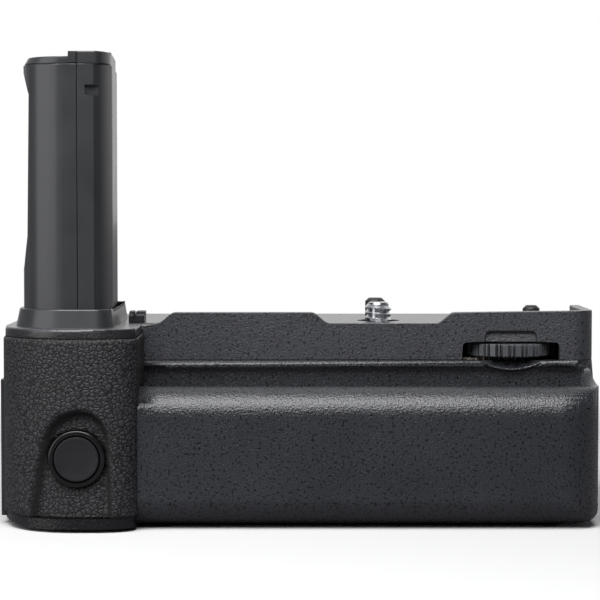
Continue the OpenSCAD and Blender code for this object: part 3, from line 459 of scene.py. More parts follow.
def soften(
    shape: Shape,
    width: float,
    pick: Optional[Pick] = None,
    angle: float = 28.0,
    steps: int = 2,
    fullness: float = 0.5,
) -> None:
    """Round the sharp edges of a mesh.

    Args:
        shape: mesh to change.
        width: width of the rounding.
        pick: says from an edge's middle, in millimetres, whether it is rounded.
        angle: edges that turn less than this many degrees stay.
        steps: facets across the rounding.
        fullness: 0.5 for a round edge, less for a flatter one.
    """
    sharp = [
        edge
        for edge in shape.edges
        if len(edge.link_faces) == 2
        and edge.calc_face_angle(0.0) > math.radians(angle)
        and edge.calc_length() > 2 * width * MM
        and (pick is None or pick((edge.verts[0].co + edge.verts[1].co) / (2 * MM)))
    ]
    bmesh.ops.bevel(
        shape,
        geom=sharp,
        offset=width * MM,
        offset_type="OFFSET",
        segments=steps,
        profile=fullness,
        affect="EDGES",
        clamp_overlap=False,
    )


def merge(whole: Shape, part: Shape) -> None:
    """Add one mesh to another and free it.

    Args:
        whole: mesh that grows.
        part: mesh that goes into it.
    """
    mesh = bpy.data.meshes.new("part")
    part.to_mesh(mesh)
    part.free()
    whole.from_mesh(mesh)
    bpy.data.meshes.remove(mesh)


def place(
    shape: Union[Shape, bpy.types.Mesh],
    name: str,
    finish: Finish,
    node: str,
    body: str = "grip_body",
    angle: float = 32.0,
) -> bpy.types.Object:
    """Make a piece and put it on its body.

    Args:
        shape: the piece's mesh, in metres and in place.
        name: name of the piece.
        finish: how its surface looks.
        node: CAD node that it stands for.
        body: body that carries it.
        angle: edges that turn more than this many degrees are shaded sharp.

    Returns:
        The new object.
    """
    if isinstance(shape, Shape):
        mesh = bpy.data.meshes.new(name)
        shape.to_mesh(mesh)
        shape.free()
    else:
        mesh = shape
        mesh.name = name
    mesh.shade_smooth()
    mesh.set_sharp_from_angle(angle=math.radians(angle))
    mesh.materials.clear()
    mesh.materials.append(finish.material())
    piece = bpy.data.objects.new(name, mesh)
    bpy.context.scene.collection.objects.link(piece)
    flat = piece.modifiers.new("flat_faces", "WEIGHTED_NORMAL")
    flat.keep_sharp = True
    flat.weight = 50
    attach(piece, body)
    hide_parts(node)
    LOG.info("%s: %d faces on %s", name, len(mesh.polygons), body)
    return piece


def rounded(
    node: str,
    way: str,
    finish: Finish,
    width: float,
    pick: Optional[Pick] = None,
    body: str = "grip_body",
    angle: float = 32.0,
) -> None:
    """Make a piece from a CAD node with its edges rounded.

    Args:
        node: name of the node.
        way: how it was made, which ends the piece's name.
        finish: how its surface looks.
        width: width of the rounding.
        pick: says which edges are rounded.
        body: body that carries it.
        angle: edges that turn more than this many degrees are shaded sharp.
    """
    shape = cad_copy(node)
    soften(shape, width, pick)
    place(shape, f"{node}_{way}", finish, node, body, angle)


def keep(finish: Finish, *nodes: str) -> None:
    """Keep CAD nodes as they are, in a fuller finish.

    Args:
        finish: how their surface looks.
        nodes: names of the nodes.
    """
    for node in nodes:
        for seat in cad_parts[node].material_slots:
            seat.material = finish.material()
        LOG.info("%s: kept, %s", node, finish.name)


def revolve(profile: Sequence[Pair], at: Triple, axis: Axis, steps: int = 64) -> Shape:
    """Turn a profile about an axis.

    Args:
        profile: radius and distance along the axis, point by point.
        at: point on the axis that distances start from.
        axis: direction of the axis.
        steps: facets round the axis.

    Returns:
        The round mesh, in metres.
    """
    shape = bmesh.new()
    rings = []
    for radius, along in profile:
        ring = []
        for i in range(steps if radius > 0 else 1):
            a = 2 * math.pi * i / steps
            flat = [radius * math.cos(a), radius * math.sin(a)]
            flat.insert(axis.value, along)
            ring.append(shape.verts.new([(p + o) * MM for p, o in zip(flat, at)]))
        rings.append(ring)
    for low, high in zip(rings, rings[1:]):
        for i in range(steps):
            j = (i + 1) % steps
            corners = [low[i % len(low)], low[j % len(low)], high[j % len(high)], high[i % len(high)]]
            face = list(dict.fromkeys(corners))
            if len(face) > 2:
                shape.faces.new(face)
    for ring in (rings[0], rings[-1]):
        if len(ring) > 1:
            shape.faces.new(ring)
    bmesh.ops.recalc_face_normals(shape, faces=shape.faces)
    return shape


def new_tree(name: str, **inputs: str) -> tuple[Tree, dict[str, Socket]]:
    """Start a Geometry Nodes tree.

    Args:
        name: name of the tree.
        inputs: names and kinds of its inputs.

    Returns:
        The tree, and its input sockets by name.
    """
    tree = bpy.data.node_groups.new(name, "GeometryNodeTree")
    for label, kind in {"Geometry": "Geometry", **inputs}.items():
        tree.interface.new_socket(label, in_out="INPUT", socket_type="NodeSocket" + kind)
    tree.interface.new_socket("Geometry", in_out="OUTPUT", socket_type="NodeSocketGeometry")
    start = tree.nodes.new("NodeGroupInput")
    return tree, {socket.name: socket for socket in start.outputs if socket.name}


def end_tree(tree: Tree, given: dict[str, Socket], shape: Node, **turn: Socket) -> Tree:
    """Set what a tree has made on each of its points, with its material, and send it out.

    Args:
        tree: the tree.
        given: its input sockets.
        shape: what it has made.
        turn: how that is turned on the points, where it is.

    Returns:
        The tree.
    """
    spread = add_node(
        tree, "GeometryNodeInstanceOnPoints", {"Points": given["Geometry"], "Instance": shape, **turn}
    )
    real = add_node(tree, "GeometryNodeRealizeInstances", {"Geometry": spread})
    dressed = add_node(tree, "GeometryNodeSetMaterial", {"Geometry": real, "Material": given["Finish"]})
    add_node(tree, "NodeGroupOutput", {"Geometry": dressed})
    return tree


def grow(tree: Tree, finish: Finish, points: Sequence[Triple], **values: Union[float, Triple]) -> bpy.types.Mesh:
    """Run a Geometry Nodes tree once and return its mesh.

    Args:
        tree: the tree.
        finish: how its surface looks.
        points: places that the tree starts from, in millimetres.
        values: the tree's other inputs.

    Returns:
        The realised mesh, in metres.
    """
    seed = bpy.data.meshes.new(tree.name + "_points")
    seed.from_pydata([[c * MM for c in p] for p in points], [], [])
    holder = bpy.data.objects.new(tree.name + "_holder", seed)
    bpy.context.scene.collection.objects.link(holder)
    step = holder.modifiers.new("grow", "NODES")
    step.node_group = tree
    values["Finish"] = finish.material()
    for item in tree.interface.items_tree:
        if item.in_out == "INPUT" and item.name in values:
            step[item.identifier] = values[item.name]
    ready = holder.evaluated_get(bpy.context.evaluated_depsgraph_get())
    mesh = bpy.data.meshes.new_from_object(ready)
    holder.modifiers.remove(step)
    bpy.data.objects.remove(holder)
    bpy.data.meshes.remove(seed)
    return mesh


def islands(node: str) -> list[tuple[Vector, Vector]]:
    """Return the boxes of a CAD node's separate solids, in millimetres.

    Args:
        node: name of the node.

    Returns:
        Lowest and highest corner of each solid, from left to right.
    """
    shape = cad_copy(node)
    left = set(shape.verts)
    found = []
    while left:
        queue = [left.pop()]
        group = list(queue)
        while queue:
            near = {e.other_vert(v) for v in [queue.pop()] for e in v.link_edges} & left
            left -= near
            queue.extend(near)
            group.extend(near)
        spans = [(min(v.co[k] for v in group) / MM, max(v.co[k] for v in group) / MM) for k in range(3)]
        found.append((Vector([s[0] for s in spans]), Vector([s[1] for s in spans])))
    shape.free()
    return sorted(found, key=lambda b: (round(b[0].x, 3), round(b[0].y, 3), round(b[0].z, 3)))


@dataclass
class CaseShells:
    """The painted upper and lower shells with their pads.

    Attributes:
        edge: rounding of the shells' sharp edges.
        core: box out of sight, whose edges stay sharp.
        rim: rounding of the rim's upper edge over the hand grip.
        rim_ends: X and Y where that rounding ends.
        bead: rounding of the ledge along the parting line.
        ledge: heights just under and over the ledge's upper edge.
        ledge_ends: X and Y where the ledge's rounding ends.
        shelf: height of the finger groove's floor, and Y of the wall behind it.
        shelf_fall: how far that floor falls towards the wall.
        band_end: X where the marked bands round the grip end; they are partly a smooth black finish and partly painted
            shade.
        bands: heights of the band on the upper and on the lower shell.
        bulge_cuts: X and Z of the cuts where the bulge's flat front starts and ends.
        end_out: how far the bulge's right end swells.
        end_run: X where the swell starts, and its length.
        end_fade: height where the swell fades out, and over how much.
        pad_edge: rounding of the rubber pads.
        lip_centre: X of the middle of the lip under the wheel.
        lip_half: half of its width.
        lip_top: height of its ends.
        lip_sag: how far its middle hangs down.
        lip_front: Y of its front.
        lip_in: how far the hollow behind it goes into the wall.
        lip_steps: count of its sections.
    """

    edge: float = 0.25
    core: tuple[Triple, Triple] = ((-85.0, -11.0, -44.0), (47.5, 99.0, -1.0))
    rim: float = 0.7
    rim_ends: Pair = (-53.0, -11.0)
    bead: float = 0.95
    ledge: Pair = (-8.9, -8.5)
    ledge_ends: Pair = (45.5, -13.0)
    shelf: Pair = (-13.6, -11.9)
    shelf_fall: float = 1.25
    band_end: float = -53.5
    bands: tuple[Pair, Pair] = ((-2.4, -0.3), (-46.0, -40.5))
    bulge_cuts: tuple[Pair, Pair] = ((-50.0, 39.8), (-20.15, -38.95))
    end_out: float = 0.45
    end_run: Pair = (39.9, 9.0)
    end_fade: Pair = (-10.0, 3.6)
    pad_edge: float = 0.3
    lip_centre: float = 30.5
    lip_half: float = 6.9
    lip_top: float = -8.95
    lip_sag: float = 1.6
    lip_front: float = -13.4
    lip_in: float = 1.3
    lip_steps: int = 28

    def on_ledge(self, at: Vector) -> bool:
        """Say whether an edge runs along the front of the ledge."""
        return self.ledge[0] < at.z < self.ledge[1] and at.x < self.ledge_ends[0] and at.y < self.ledge_ends[1]

    def on_rim(self, at: Vector) -> bool:
        """Say whether an edge is the upper edge of the rim over the hand grip."""
        return abs(at.z) < 0.05 and at.x < self.rim_ends[0] and at.y < self.rim_ends[1]

    def outside(self, at: Vector) -> bool:
        """Say whether an edge is on the outside of the shells."""
        return any(c < low or c > high for low, c, high in zip(self.core[0], at, self.core[1]))

    def mark_black_and_shaded_band(self, shape: Shape, heights: Pair) -> None:
        """Mark a band round the grip, drawn in the pit colour: partly a smooth black finish, partly painted shade.

        Args:
            shape: mesh to mark.
            heights: lower and upper limit of the band.
        """
        band = shape.faces.layers.float.new("black_and_shaded_band")
        for face in shape.faces:
            at = face.calc_center_median() / MM
            face[band] = 1.0 if at.x < self.band_end and heights[0] < at.z < heights[1] else 0.0

    def swell(self, shape: Shape) -> None:
        """Draw the bulge's right end out a little and let the groove's floor fall to the wall.

        Args:
            shape: mesh to change.
        """
        start, length = self.end_run
        for v in shape.verts:
            x, y, z = v.co / MM
            if abs(z - self.shelf[0]) < 0.02 and abs(y - self.shelf[1]) < 0.1:
                v.co.z -= self.shelf_fall * MM
            if x > start:
                out = self.end_out * MM * (x - start) / length
                v.co.x += out * ease((self.end_fade[0] - z) / self.end_fade[1])

    def finger_lip(self) -> Shape:
        """Return the thin lip that carries the ledge round the finger relief under the wheel.

        Returns:
            The lip's mesh.
        """
        shape = bmesh.new()
        rows = []
        wall, front, top = self.shelf[1], self.lip_front, self.lip_top
        for i in range(self.lip_steps + 1):
            s = 2 * i / self.lip_steps - 1
            rim = top - self.lip_sag * (1 - s * s)
            back = wall + self.lip_in * (1 - s * s)
            section = [
                (back, top + 0.1),
                (0.7 * back + 0.3 * front, 0.45 * top + 0.55 * rim),
                (front + 0.45, rim - 0.02),
                (front + 0.15, rim + 0.05),
                (front, rim - 0.1),
                (front, rim - 0.3),
                (wall - 0.2, rim - 0.85),
                (wall + 1.0, rim - 0.85),
                (wall + 1.6, top + 0.1),
            ]
            x = self.lip_centre + self.lip_half * s
            rows.append([shape.verts.new((x * MM, y * MM, z * MM)) for y, z in section])
        for a, b in zip(rows, rows[1:]):
            for k in range(len(a)):
                j = (k + 1) % len(a)
                shape.faces.new((a[k], a[j], b[j], b[k]))
        shape.faces.new(rows[0])
        shape.faces.new(rows[-1])
        bmesh.ops.recalc_face_normals(shape, faces=shape.faces)
        return shape

    def build(self) -> None:
        """Make both shells, the thumb rubber and the base pad."""
        upper = cad_copy("upper_case")
        soften(upper, self.rim, self.on_rim, steps=3)
        soften(upper, self.edge, self.outside, angle=40.0)
        self.mark_black_and_shaded_band(upper, self.bands[0])
        place(upper, "upper_case_painted", Finishes.deck_paint, "upper_case")
        lower = cad_copy("lower_case")
        self.swell(lower)
        self.mark_black_and_shaded_band(lower, self.bands[1])
        soften(lower, self.bead, self.on_ledge, steps=3, fullness=0.3)
        for axis, cuts in zip((Axis.X, Axis.Z), self.bulge_cuts):
            split(lower, axis, cuts)
        place(lower, "lower_case_painted", Finishes.body_paint, "lower_case")
        place(self.finger_lip(), "lower_case_finger_lip", Finishes.body_paint, "lower_case")
        rounded("base_pad", "moulded", Finishes.pad_rubber, self.pad_edge)
        rounded("thumb_rubber", "moulded", Finishes.grip_rubber, self.pad_edge)


@dataclass
class HandGrip:
    """The leather-grain rubber round the hand grip, with its arched recess, button and ring.

    Attributes:
        left_centre: plan centre of the large front-left rounding.
        left_r: its radii across and front to back.
        right_centre: plan centre of the front-right rounding.
        right_r: its radii across and front to back.
        left_end: Y where the rubber ends on the left.
        flank_end: Y where it ends on the flank.
        top: height of its upper edge.
        bottom: height of its lower edge.
        bulge_front: Y of the lower case's front, which the rubber meets.
        shoulder: height and radius of the lower case's shoulder.
        arch: outer line of the recess, from its left foot over the top to its right foot.
        arch_deep: depth of the recess.
        arch_band: width of its sloped sides, left and right.
        arch_turn: X where that width starts to change, and over what length.
        pillow: how far the rubber's edges turn in.
        thick: the rubber's thickness.
        button: centre of the shutter button in X and Z.
        hole_r: radius of the hole for the ring.
        hole_snap: points this near to the hole are drawn to its edge.
        hole_back: Y that the hole doesn't reach.
        ring_line: radius and Y along the ring's section.
        button_line: radius and Y along the button's section.
        facets: facets round the ring and the button.
        step: size of the rubber's mesh.
        cut: number of the path's point where the rubber meets the bulge.
    """

    left_centre: Pair = (-69.2, -19.2)
    left_r: Pair = (17.5, 17.5)
    right_centre: Pair = (-65.0, -31.2)
    right_r: Pair = (10.0, 5.5)
    left_end: float = -22.25
    flank_end: float = -12.25
    top: float = -2.25
    bottom: float = -42.35
    bulge_front: float = -32.3
    shoulder: Pair = (-13.5, 6.6)
    arch: tuple[Pair, ...] = (
        (-80.6, -45.0), (-79.3, -37.0), (-77.9, -29.5), (-76.6, -24.2), (-75.0, -21.0), (-72.4, -18.7),
        (-68.4, -17.5), (-64.7, -18.3), (-62.3, -20.3), (-60.9, -23.3), (-60.4, -28.0), (-60.1, -36.0),
        (-59.9, -45.0),
    )
    arch_deep: float = 2.2
    arch_band: Pair = (2.4, 1.7)
    arch_turn: Pair = (-72.0, 8.0)
    pillow: float = 0.4
    thick: float = 0.45
    button: Pair = (-68.5, -29.0)
    hole_r: float = 6.47
    hole_snap: float = 1.2
    hole_back: float = -30.0
    ring_line: tuple[Pair, ...] = (
        (5.15, -32.3), (5.15, -35.3), (5.35, -35.55), (5.6, -35.6), (6.05, -35.58),
        (6.28, -35.45), (6.37, -35.2), (6.37, -34.25), (6.37, -32.3),
    )
    button_line: tuple[Pair, ...] = (
        (0, -35.35), (1.5, -35.4), (3.0, -35.56), (4.0, -35.75), (4.5, -35.86), (4.75, -35.9),
        (4.92, -35.84), (5.0, -35.66), (5.0, -32.0), (6.0, -32.0), (6.0, -31.2), (0, -31.2),
    )
    facets: int = 96
    step: float = 0.42
    cut: int = 0

    def path(self) -> list[tuple[Vector, Vector]]:
        """Return points and outward normals along the rubber's plan, left to right.

        Returns:
            Each point with its normal.
        """
        made = []

        def bend(centre: Pair, radii: Pair, start: float, end: float) -> None:
            """Add an arc between two angles in degrees.

            Args:
                centre: centre of the arc.
                radii: its radii across and front to back.
                start: first angle.
                end: last angle.
            """
            count = max(2, round(math.radians(end - start) * max(radii) / self.step))
            for i in range(count + 1):
                a = math.radians(start + (end - start) * i / count)
                spot = Vector((radii[0] * math.cos(a), radii[1] * math.sin(a)))
                out = Vector((math.cos(a) / radii[0], math.sin(a) / radii[1])).normalized()
                made.append((Vector(centre) + spot, out))

        start = 180 + math.degrees(math.asin((self.left_centre[1] - self.left_end) / self.left_r[1]))
        bend(self.left_centre, self.left_r, start, 270)
        last = made[-1][0]
        count = round((self.right_centre[0] - last.x) / self.step)
        for i in range(1, count):
            made.append((last.lerp(Vector((self.right_centre[0], last.y)), i / count), Vector((0, -1))))
        meets = 270 + math.degrees(math.acos((self.right_centre[1] - self.bulge_front) / self.right_r[1]))
        bend(self.right_centre, self.right_r, 270, meets)
        self.cut = len(made) - 1
        bend(self.right_centre, self.right_r, meets, 360)
        del made[self.cut + 1]
        last = made[-1][0]
        count = round((self.flank_end - last.y) / self.step)
        for i in range(1, count + 1):
            made.append((last.lerp(Vector((last.x, self.flank_end)), i / count), Vector((1, 0))))
        return made

    def low(self, y: float) -> float:
        """Return the rubber's lower edge on the flank, which follows the shoulder.

        Args:
            y: place on the flank.

        Returns:
            The edge's height there.
        """
        height, radius = self.shoulder
        across = y - (self.bulge_front + radius)
        if across >= 0:
            return height
        return height - radius + math.sqrt(max(0.0, radius * radius - across * across))

    def recess(self, x: float, z: float) -> float:
        """Return the recess's depth at a place on the front.

        Args:
            x: place across.
            z: its height.

        Returns:
            The depth.
        """
        near = math.inf
        inside = False
        for (ax, az), (bx, bz) in zip(self.arch, self.arch[1:]):
            t = ((x - ax) * (bx - ax) + (z - az) * (bz - az)) / ((bx - ax) ** 2 + (bz - az) ** 2)
            t = min(1.0, max(0.0, t))
            near = min(near, math.hypot(x - ax - t * (bx - ax), z - az - t * (bz - az)))
        for (ax, az), (bx, bz) in zip(self.arch, self.arch[1:] + self.arch[:1]):
            if (az > z) != (bz > z) and x < (bx - ax) * (z - az) / (bz - az) + ax:
                inside = not inside
        if not inside:
            return 0.0
        side = ease((x - self.arch_turn[0]) / self.arch_turn[1])
        band = self.arch_band[0] * (1 - side) + self.arch_band[1] * side
        return self.arch_deep * ease(near / band)

    def turn_in(self, gap: float) -> float:
        """Return how far an edge is turned in, at a distance from it.

        Args:
            gap: the distance.

        Returns:
            How far.
        """
        if gap >= 2 * self.pillow:
            return 0.0
        return self.pillow * (1 - math.sqrt(max(0.0, 1 - (1 - gap / (2 * self.pillow)) ** 2)))

    def sheet(self) -> Shape:
        """Return the rubber's outer face as a grid, with no hole yet.

        Returns:
            The grid.
        """
        shape = bmesh.new()
        bare_shaded = shape.verts.layers.float.new("bare_shaded_rubber")
        path = self.path()
        run = [0.0]
        for (a, _), (b, _) in zip(path, path[1:]):
            run.append(run[-1] + (b - a).length)
        tall = round((self.top - self.bottom) / self.step)

        def heights(foot: float) -> list[float]:
            """Return the heights of a column's points, from the top to its foot."""
            return [self.top + (foot - self.top) * k / tall for k in range(tall + 1)]

        columns = []
        for i, (at, out) in enumerate(path):
            on_front = i <= self.cut
            foot = self.bottom if on_front else self.low(at.y)
            side = min(run[i], run[-1] - run[i])
            column = []
            for z in heights(foot):
                gap = min(side, self.top - z, z - foot if on_front else math.inf)
                sunk = self.recess(at.x, z) if out.y < -0.05 else 0.0
                spot = at - out * max(sunk, self.turn_in(gap))
                column.append(shape.verts.new((spot.x * MM, spot.y * MM, z * MM)))
                # Mark the recess's sloped sides, drawn ungrained and darker; the darkness is painted shade.
                column[-1][bare_shaded] = math.sin(math.pi * sunk / self.arch_deep)
            columns.append(column)
            if i == self.cut:
                columns.append([shape.verts.new((at.x * MM, at.y * MM, z * MM)) for z in heights(self.low(at.y))])
        for i, (a, b) in enumerate(zip(columns, columns[1:])):
            if i != self.cut:
                for k in range(tall):
                    shape.faces.new((a[k], a[k + 1], b[k + 1], b[k]))
        return shape

    def rubber(self) -> Shape:
        """Return the rubber's outer face with the ring's hole cut out.

        Returns:
            The rubber's mesh.
        """
        shape = self.sheet()
        centre = Vector(self.button) * MM
        reach = self.hole_r * MM

        def offset(v: bmesh.types.BMVert) -> Vector:
            """Return a point's place from the hole's centre, seen from the front."""
            return Vector((v.co.x, v.co.z)) - centre

        inside = [v for v in shape.verts if v.co.y < self.hole_back * MM and offset(v).length < reach]
        bmesh.ops.delete(shape, geom=inside, context="VERTS")
        for v in shape.verts:
            flat = offset(v)
            if v.is_boundary and v.co.y < self.hole_back * MM and flat.length < (self.hole_r + self.hole_snap) * MM:
                flat *= reach / flat.length
                v.co.x, v.co.z = centre.x + flat.x, centre.y + flat.y
        return shape

    def build(self) -> None:
        """Make the rubber, the ring and the dished button."""
        skin = place(self.rubber(), "grip_rubber_grained", Finishes.grip_rubber, "grip_rubber", angle=60)
        thickness = skin.modifiers.new("thickness", "SOLIDIFY")
        thickness.thickness = self.thick * MM
        thickness.offset = -1.0
        thickness.use_even_offset = True
        middle = (self.button[0], 0, self.button[1])
        ring = revolve(self.ring_line, middle, Axis.Y, self.facets)
        place(ring, "shutter_ring_moulded", Finishes.ring_abs, "shutter_ring")
        button = revolve(self.button_line, middle, Axis.Y, self.facets)
        place(button, "shutter_button_dished", Finishes.button_abs, "shutter_button", "shutter_button")
        keep(Finishes.steel, "shutter_switch")
        keep(Finishes.solder_mask, "shutter_board")


@dataclass
class Tower:
    """The battery-shaped tower with its collar, cap and the clip beside it.

    Attributes:
        edge: rounding of the shells' edges.
        trim_edge: rounding of the collar and the cap.
        clip_edge: rounding of the clip.
        top: height over which edges belong to the top.
        front: Y in front of which edges belong to the front.
        centre: middle of the tower in plan.
        collar_lean: how far the collar's sides lean in at the top.
        collar_out: how far the collar's left side is set out.
        left_out: heights, and how far the left side is set out there.
        left_from: X where the left side starts to be set out.
        right_in: how far the right side runs in towards the back.
        right_from: X where it starts to run in.
        right_run: Y where it starts to run in, and over what length.
        strip_edge: X of the flat strip's right edge.
        turn_back: slope of the face beside the strip, away from the front.
        turn_end: Y where that slope ends.
        fade: length over which these changes start.
        cap_step: X where the cap steps up.
        cap_seam: X of the groove over the seam.
        cap_tops: heights of the cap's left and right part.
        cap_groove: width and depth of that groove.
        cap_front: Y in front of which the cap is raised, and is grooved.
    """

    edge: float = 0.18
    trim_edge: float = 0.3
    clip_edge: float = 0.2
    top: float = 59.0
    front: float = -28.55
    centre: Pair = (-71.0, -9.7)
    collar_lean: float = 0.8
    collar_out: float = 0.9
    left_out: tuple[Pair, ...] = (
        (12.7, 1.33), (24.0, 0.64), (52.5, 0.64), (57.6, 1.15), (59.25, 1.15), (59.3, 0.45),
    )
    left_from: float = -74.0
    right_in: float = 1.35
    right_from: float = -67.0
    right_run: Pair = (-20.0, 20.0)
    strip_edge: float = -64.9
    turn_back: float = 0.45
    turn_end: float = -20.7
    fade: float = 4.0
    cap_step: float = -70.75
    cap_seam: float = -68.75
    cap_tops: Pair = (60.9, 62.05)
    cap_groove: Pair = (0.4, 0.5)
    cap_front: Pair = (-19.9, -26.0)

    def draw_out(self, shape: Shape) -> None:
        """Set the left side out to its lips and run the right side in towards the back.

        Args:
            shape: mesh to change.
        """
        for v in shape.verts:
            x, y, z = v.co / MM
            out = self.left_out[0][1] if z < self.left_out[0][0] else self.left_out[-1][1]
            for (low, a), (high, b) in zip(self.left_out, self.left_out[1:]):
                if low <= z < high:
                    out = a + (b - a) * (z - low) / (high - low)
            out *= ease((self.left_from - x) / self.fade)
            back = ease((y - self.right_run[0]) / self.right_run[1])
            v.co.x -= MM * (out + self.right_in * ease((x - self.right_from) / self.fade) * back)

    def turn_face(self, shape: Shape) -> None:
        """Turn the shell's face beside the strip away from the front.

        Args:
            shape: mesh to change.
        """
        for v in shape.verts:
            x, y, _ = v.co / MM
            v.co.y += MM * self.turn_back * max(0.0, x - self.strip_edge) * ease((self.turn_end - y) / self.fade)

    def on_shell(self, at: Vector) -> bool:
        """Say whether an edge of a shell belongs to its top or its front."""
        return at.z > self.top or at.y < self.front

    def on_cap(self, at: Vector) -> bool:
        """Say whether an edge belongs to the cap's rim, away from its step and groove."""
        return at.z > self.top and abs(at.x - self.cap_step) > 0.2 and abs(at.x - self.cap_seam) > 0.4

    def cap(self) -> Shape:
        """Return the cap with its raised right part brought to the front, grooved over the seam.

        Returns:
            The cap's mesh.
        """
        shape = cad_copy("tower_cap")
        wide, deep = self.cap_groove
        left, right = (self.cap_seam + side * wide / 2 for side in (-1, 1))
        split(shape, Axis.X, (self.cap_step, self.cap_step + 0.05, left - 0.03, left, right, right + 0.03))
        for v in shape.verts:
            x, y, z = v.co / MM
            if y > self.cap_front[0] or z < self.cap_tops[0] - 2.0:
                continue
            if x > self.cap_step + 0.02 and abs(z - self.cap_tops[0]) < 0.02:
                v.co.z = self.cap_tops[1] * MM
            if abs(x - self.cap_seam) < wide / 2 + 0.01 and y < self.cap_front[1]:
                v.co.y += deep * MM
        return shape

    def collar(self) -> Shape:
        """Return the collar with its outer sides leaning in towards the top.

        Returns:
            The collar's mesh.
        """
        shape = cad_copy("tower_collar")
        for v in shape.verts:
            v.co.x -= self.collar_out * MM * ease((self.left_from - v.co.x / MM) / self.fade)
        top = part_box("tower_collar")[1].z
        for v in shape.verts:
            out = Vector((v.co.x / MM - self.centre[0], v.co.y / MM - self.centre[1], 0.0))
            sides = [f.normal for f in v.link_faces if abs(f.normal.z) < 0.5]
            if v.co.z > top - 0.1 * MM and sides and sum((n.dot(out) for n in sides), 0.0) > 0:
                v.co -= sum(sides, Vector()).normalized() * self.collar_lean * MM
        soften(shape, self.trim_edge, lambda at: at.z > 1)
        return shape

    def build(self) -> None:
        """Make the shells, the cap, the collar and the clip."""
        for side in ("left", "right"):
            node = f"tower_{side}_shell"
            shell = cad_copy(node)
            self.turn_face(shell)
            self.draw_out(shell)
            soften(shell, self.edge, self.on_shell)
            place(shell, f"tower_{side}_moulded", Finishes.tower_abs, node)
        cap = self.cap()
        self.draw_out(cap)
        soften(cap, self.trim_edge, self.on_cap)
        place(cap, "tower_cap_moulded", Finishes.tower_abs, "tower_cap")
        place(self.collar(), "tower_collar_moulded", Finishes.tower_abs, "tower_collar")
        rounded("door_clip", "moulded", Finishes.trim_abs, self.clip_edge)
        keep(Finishes.solder_mask, "tower_board")
        keep(Finishes.gold, "tower_contacts")


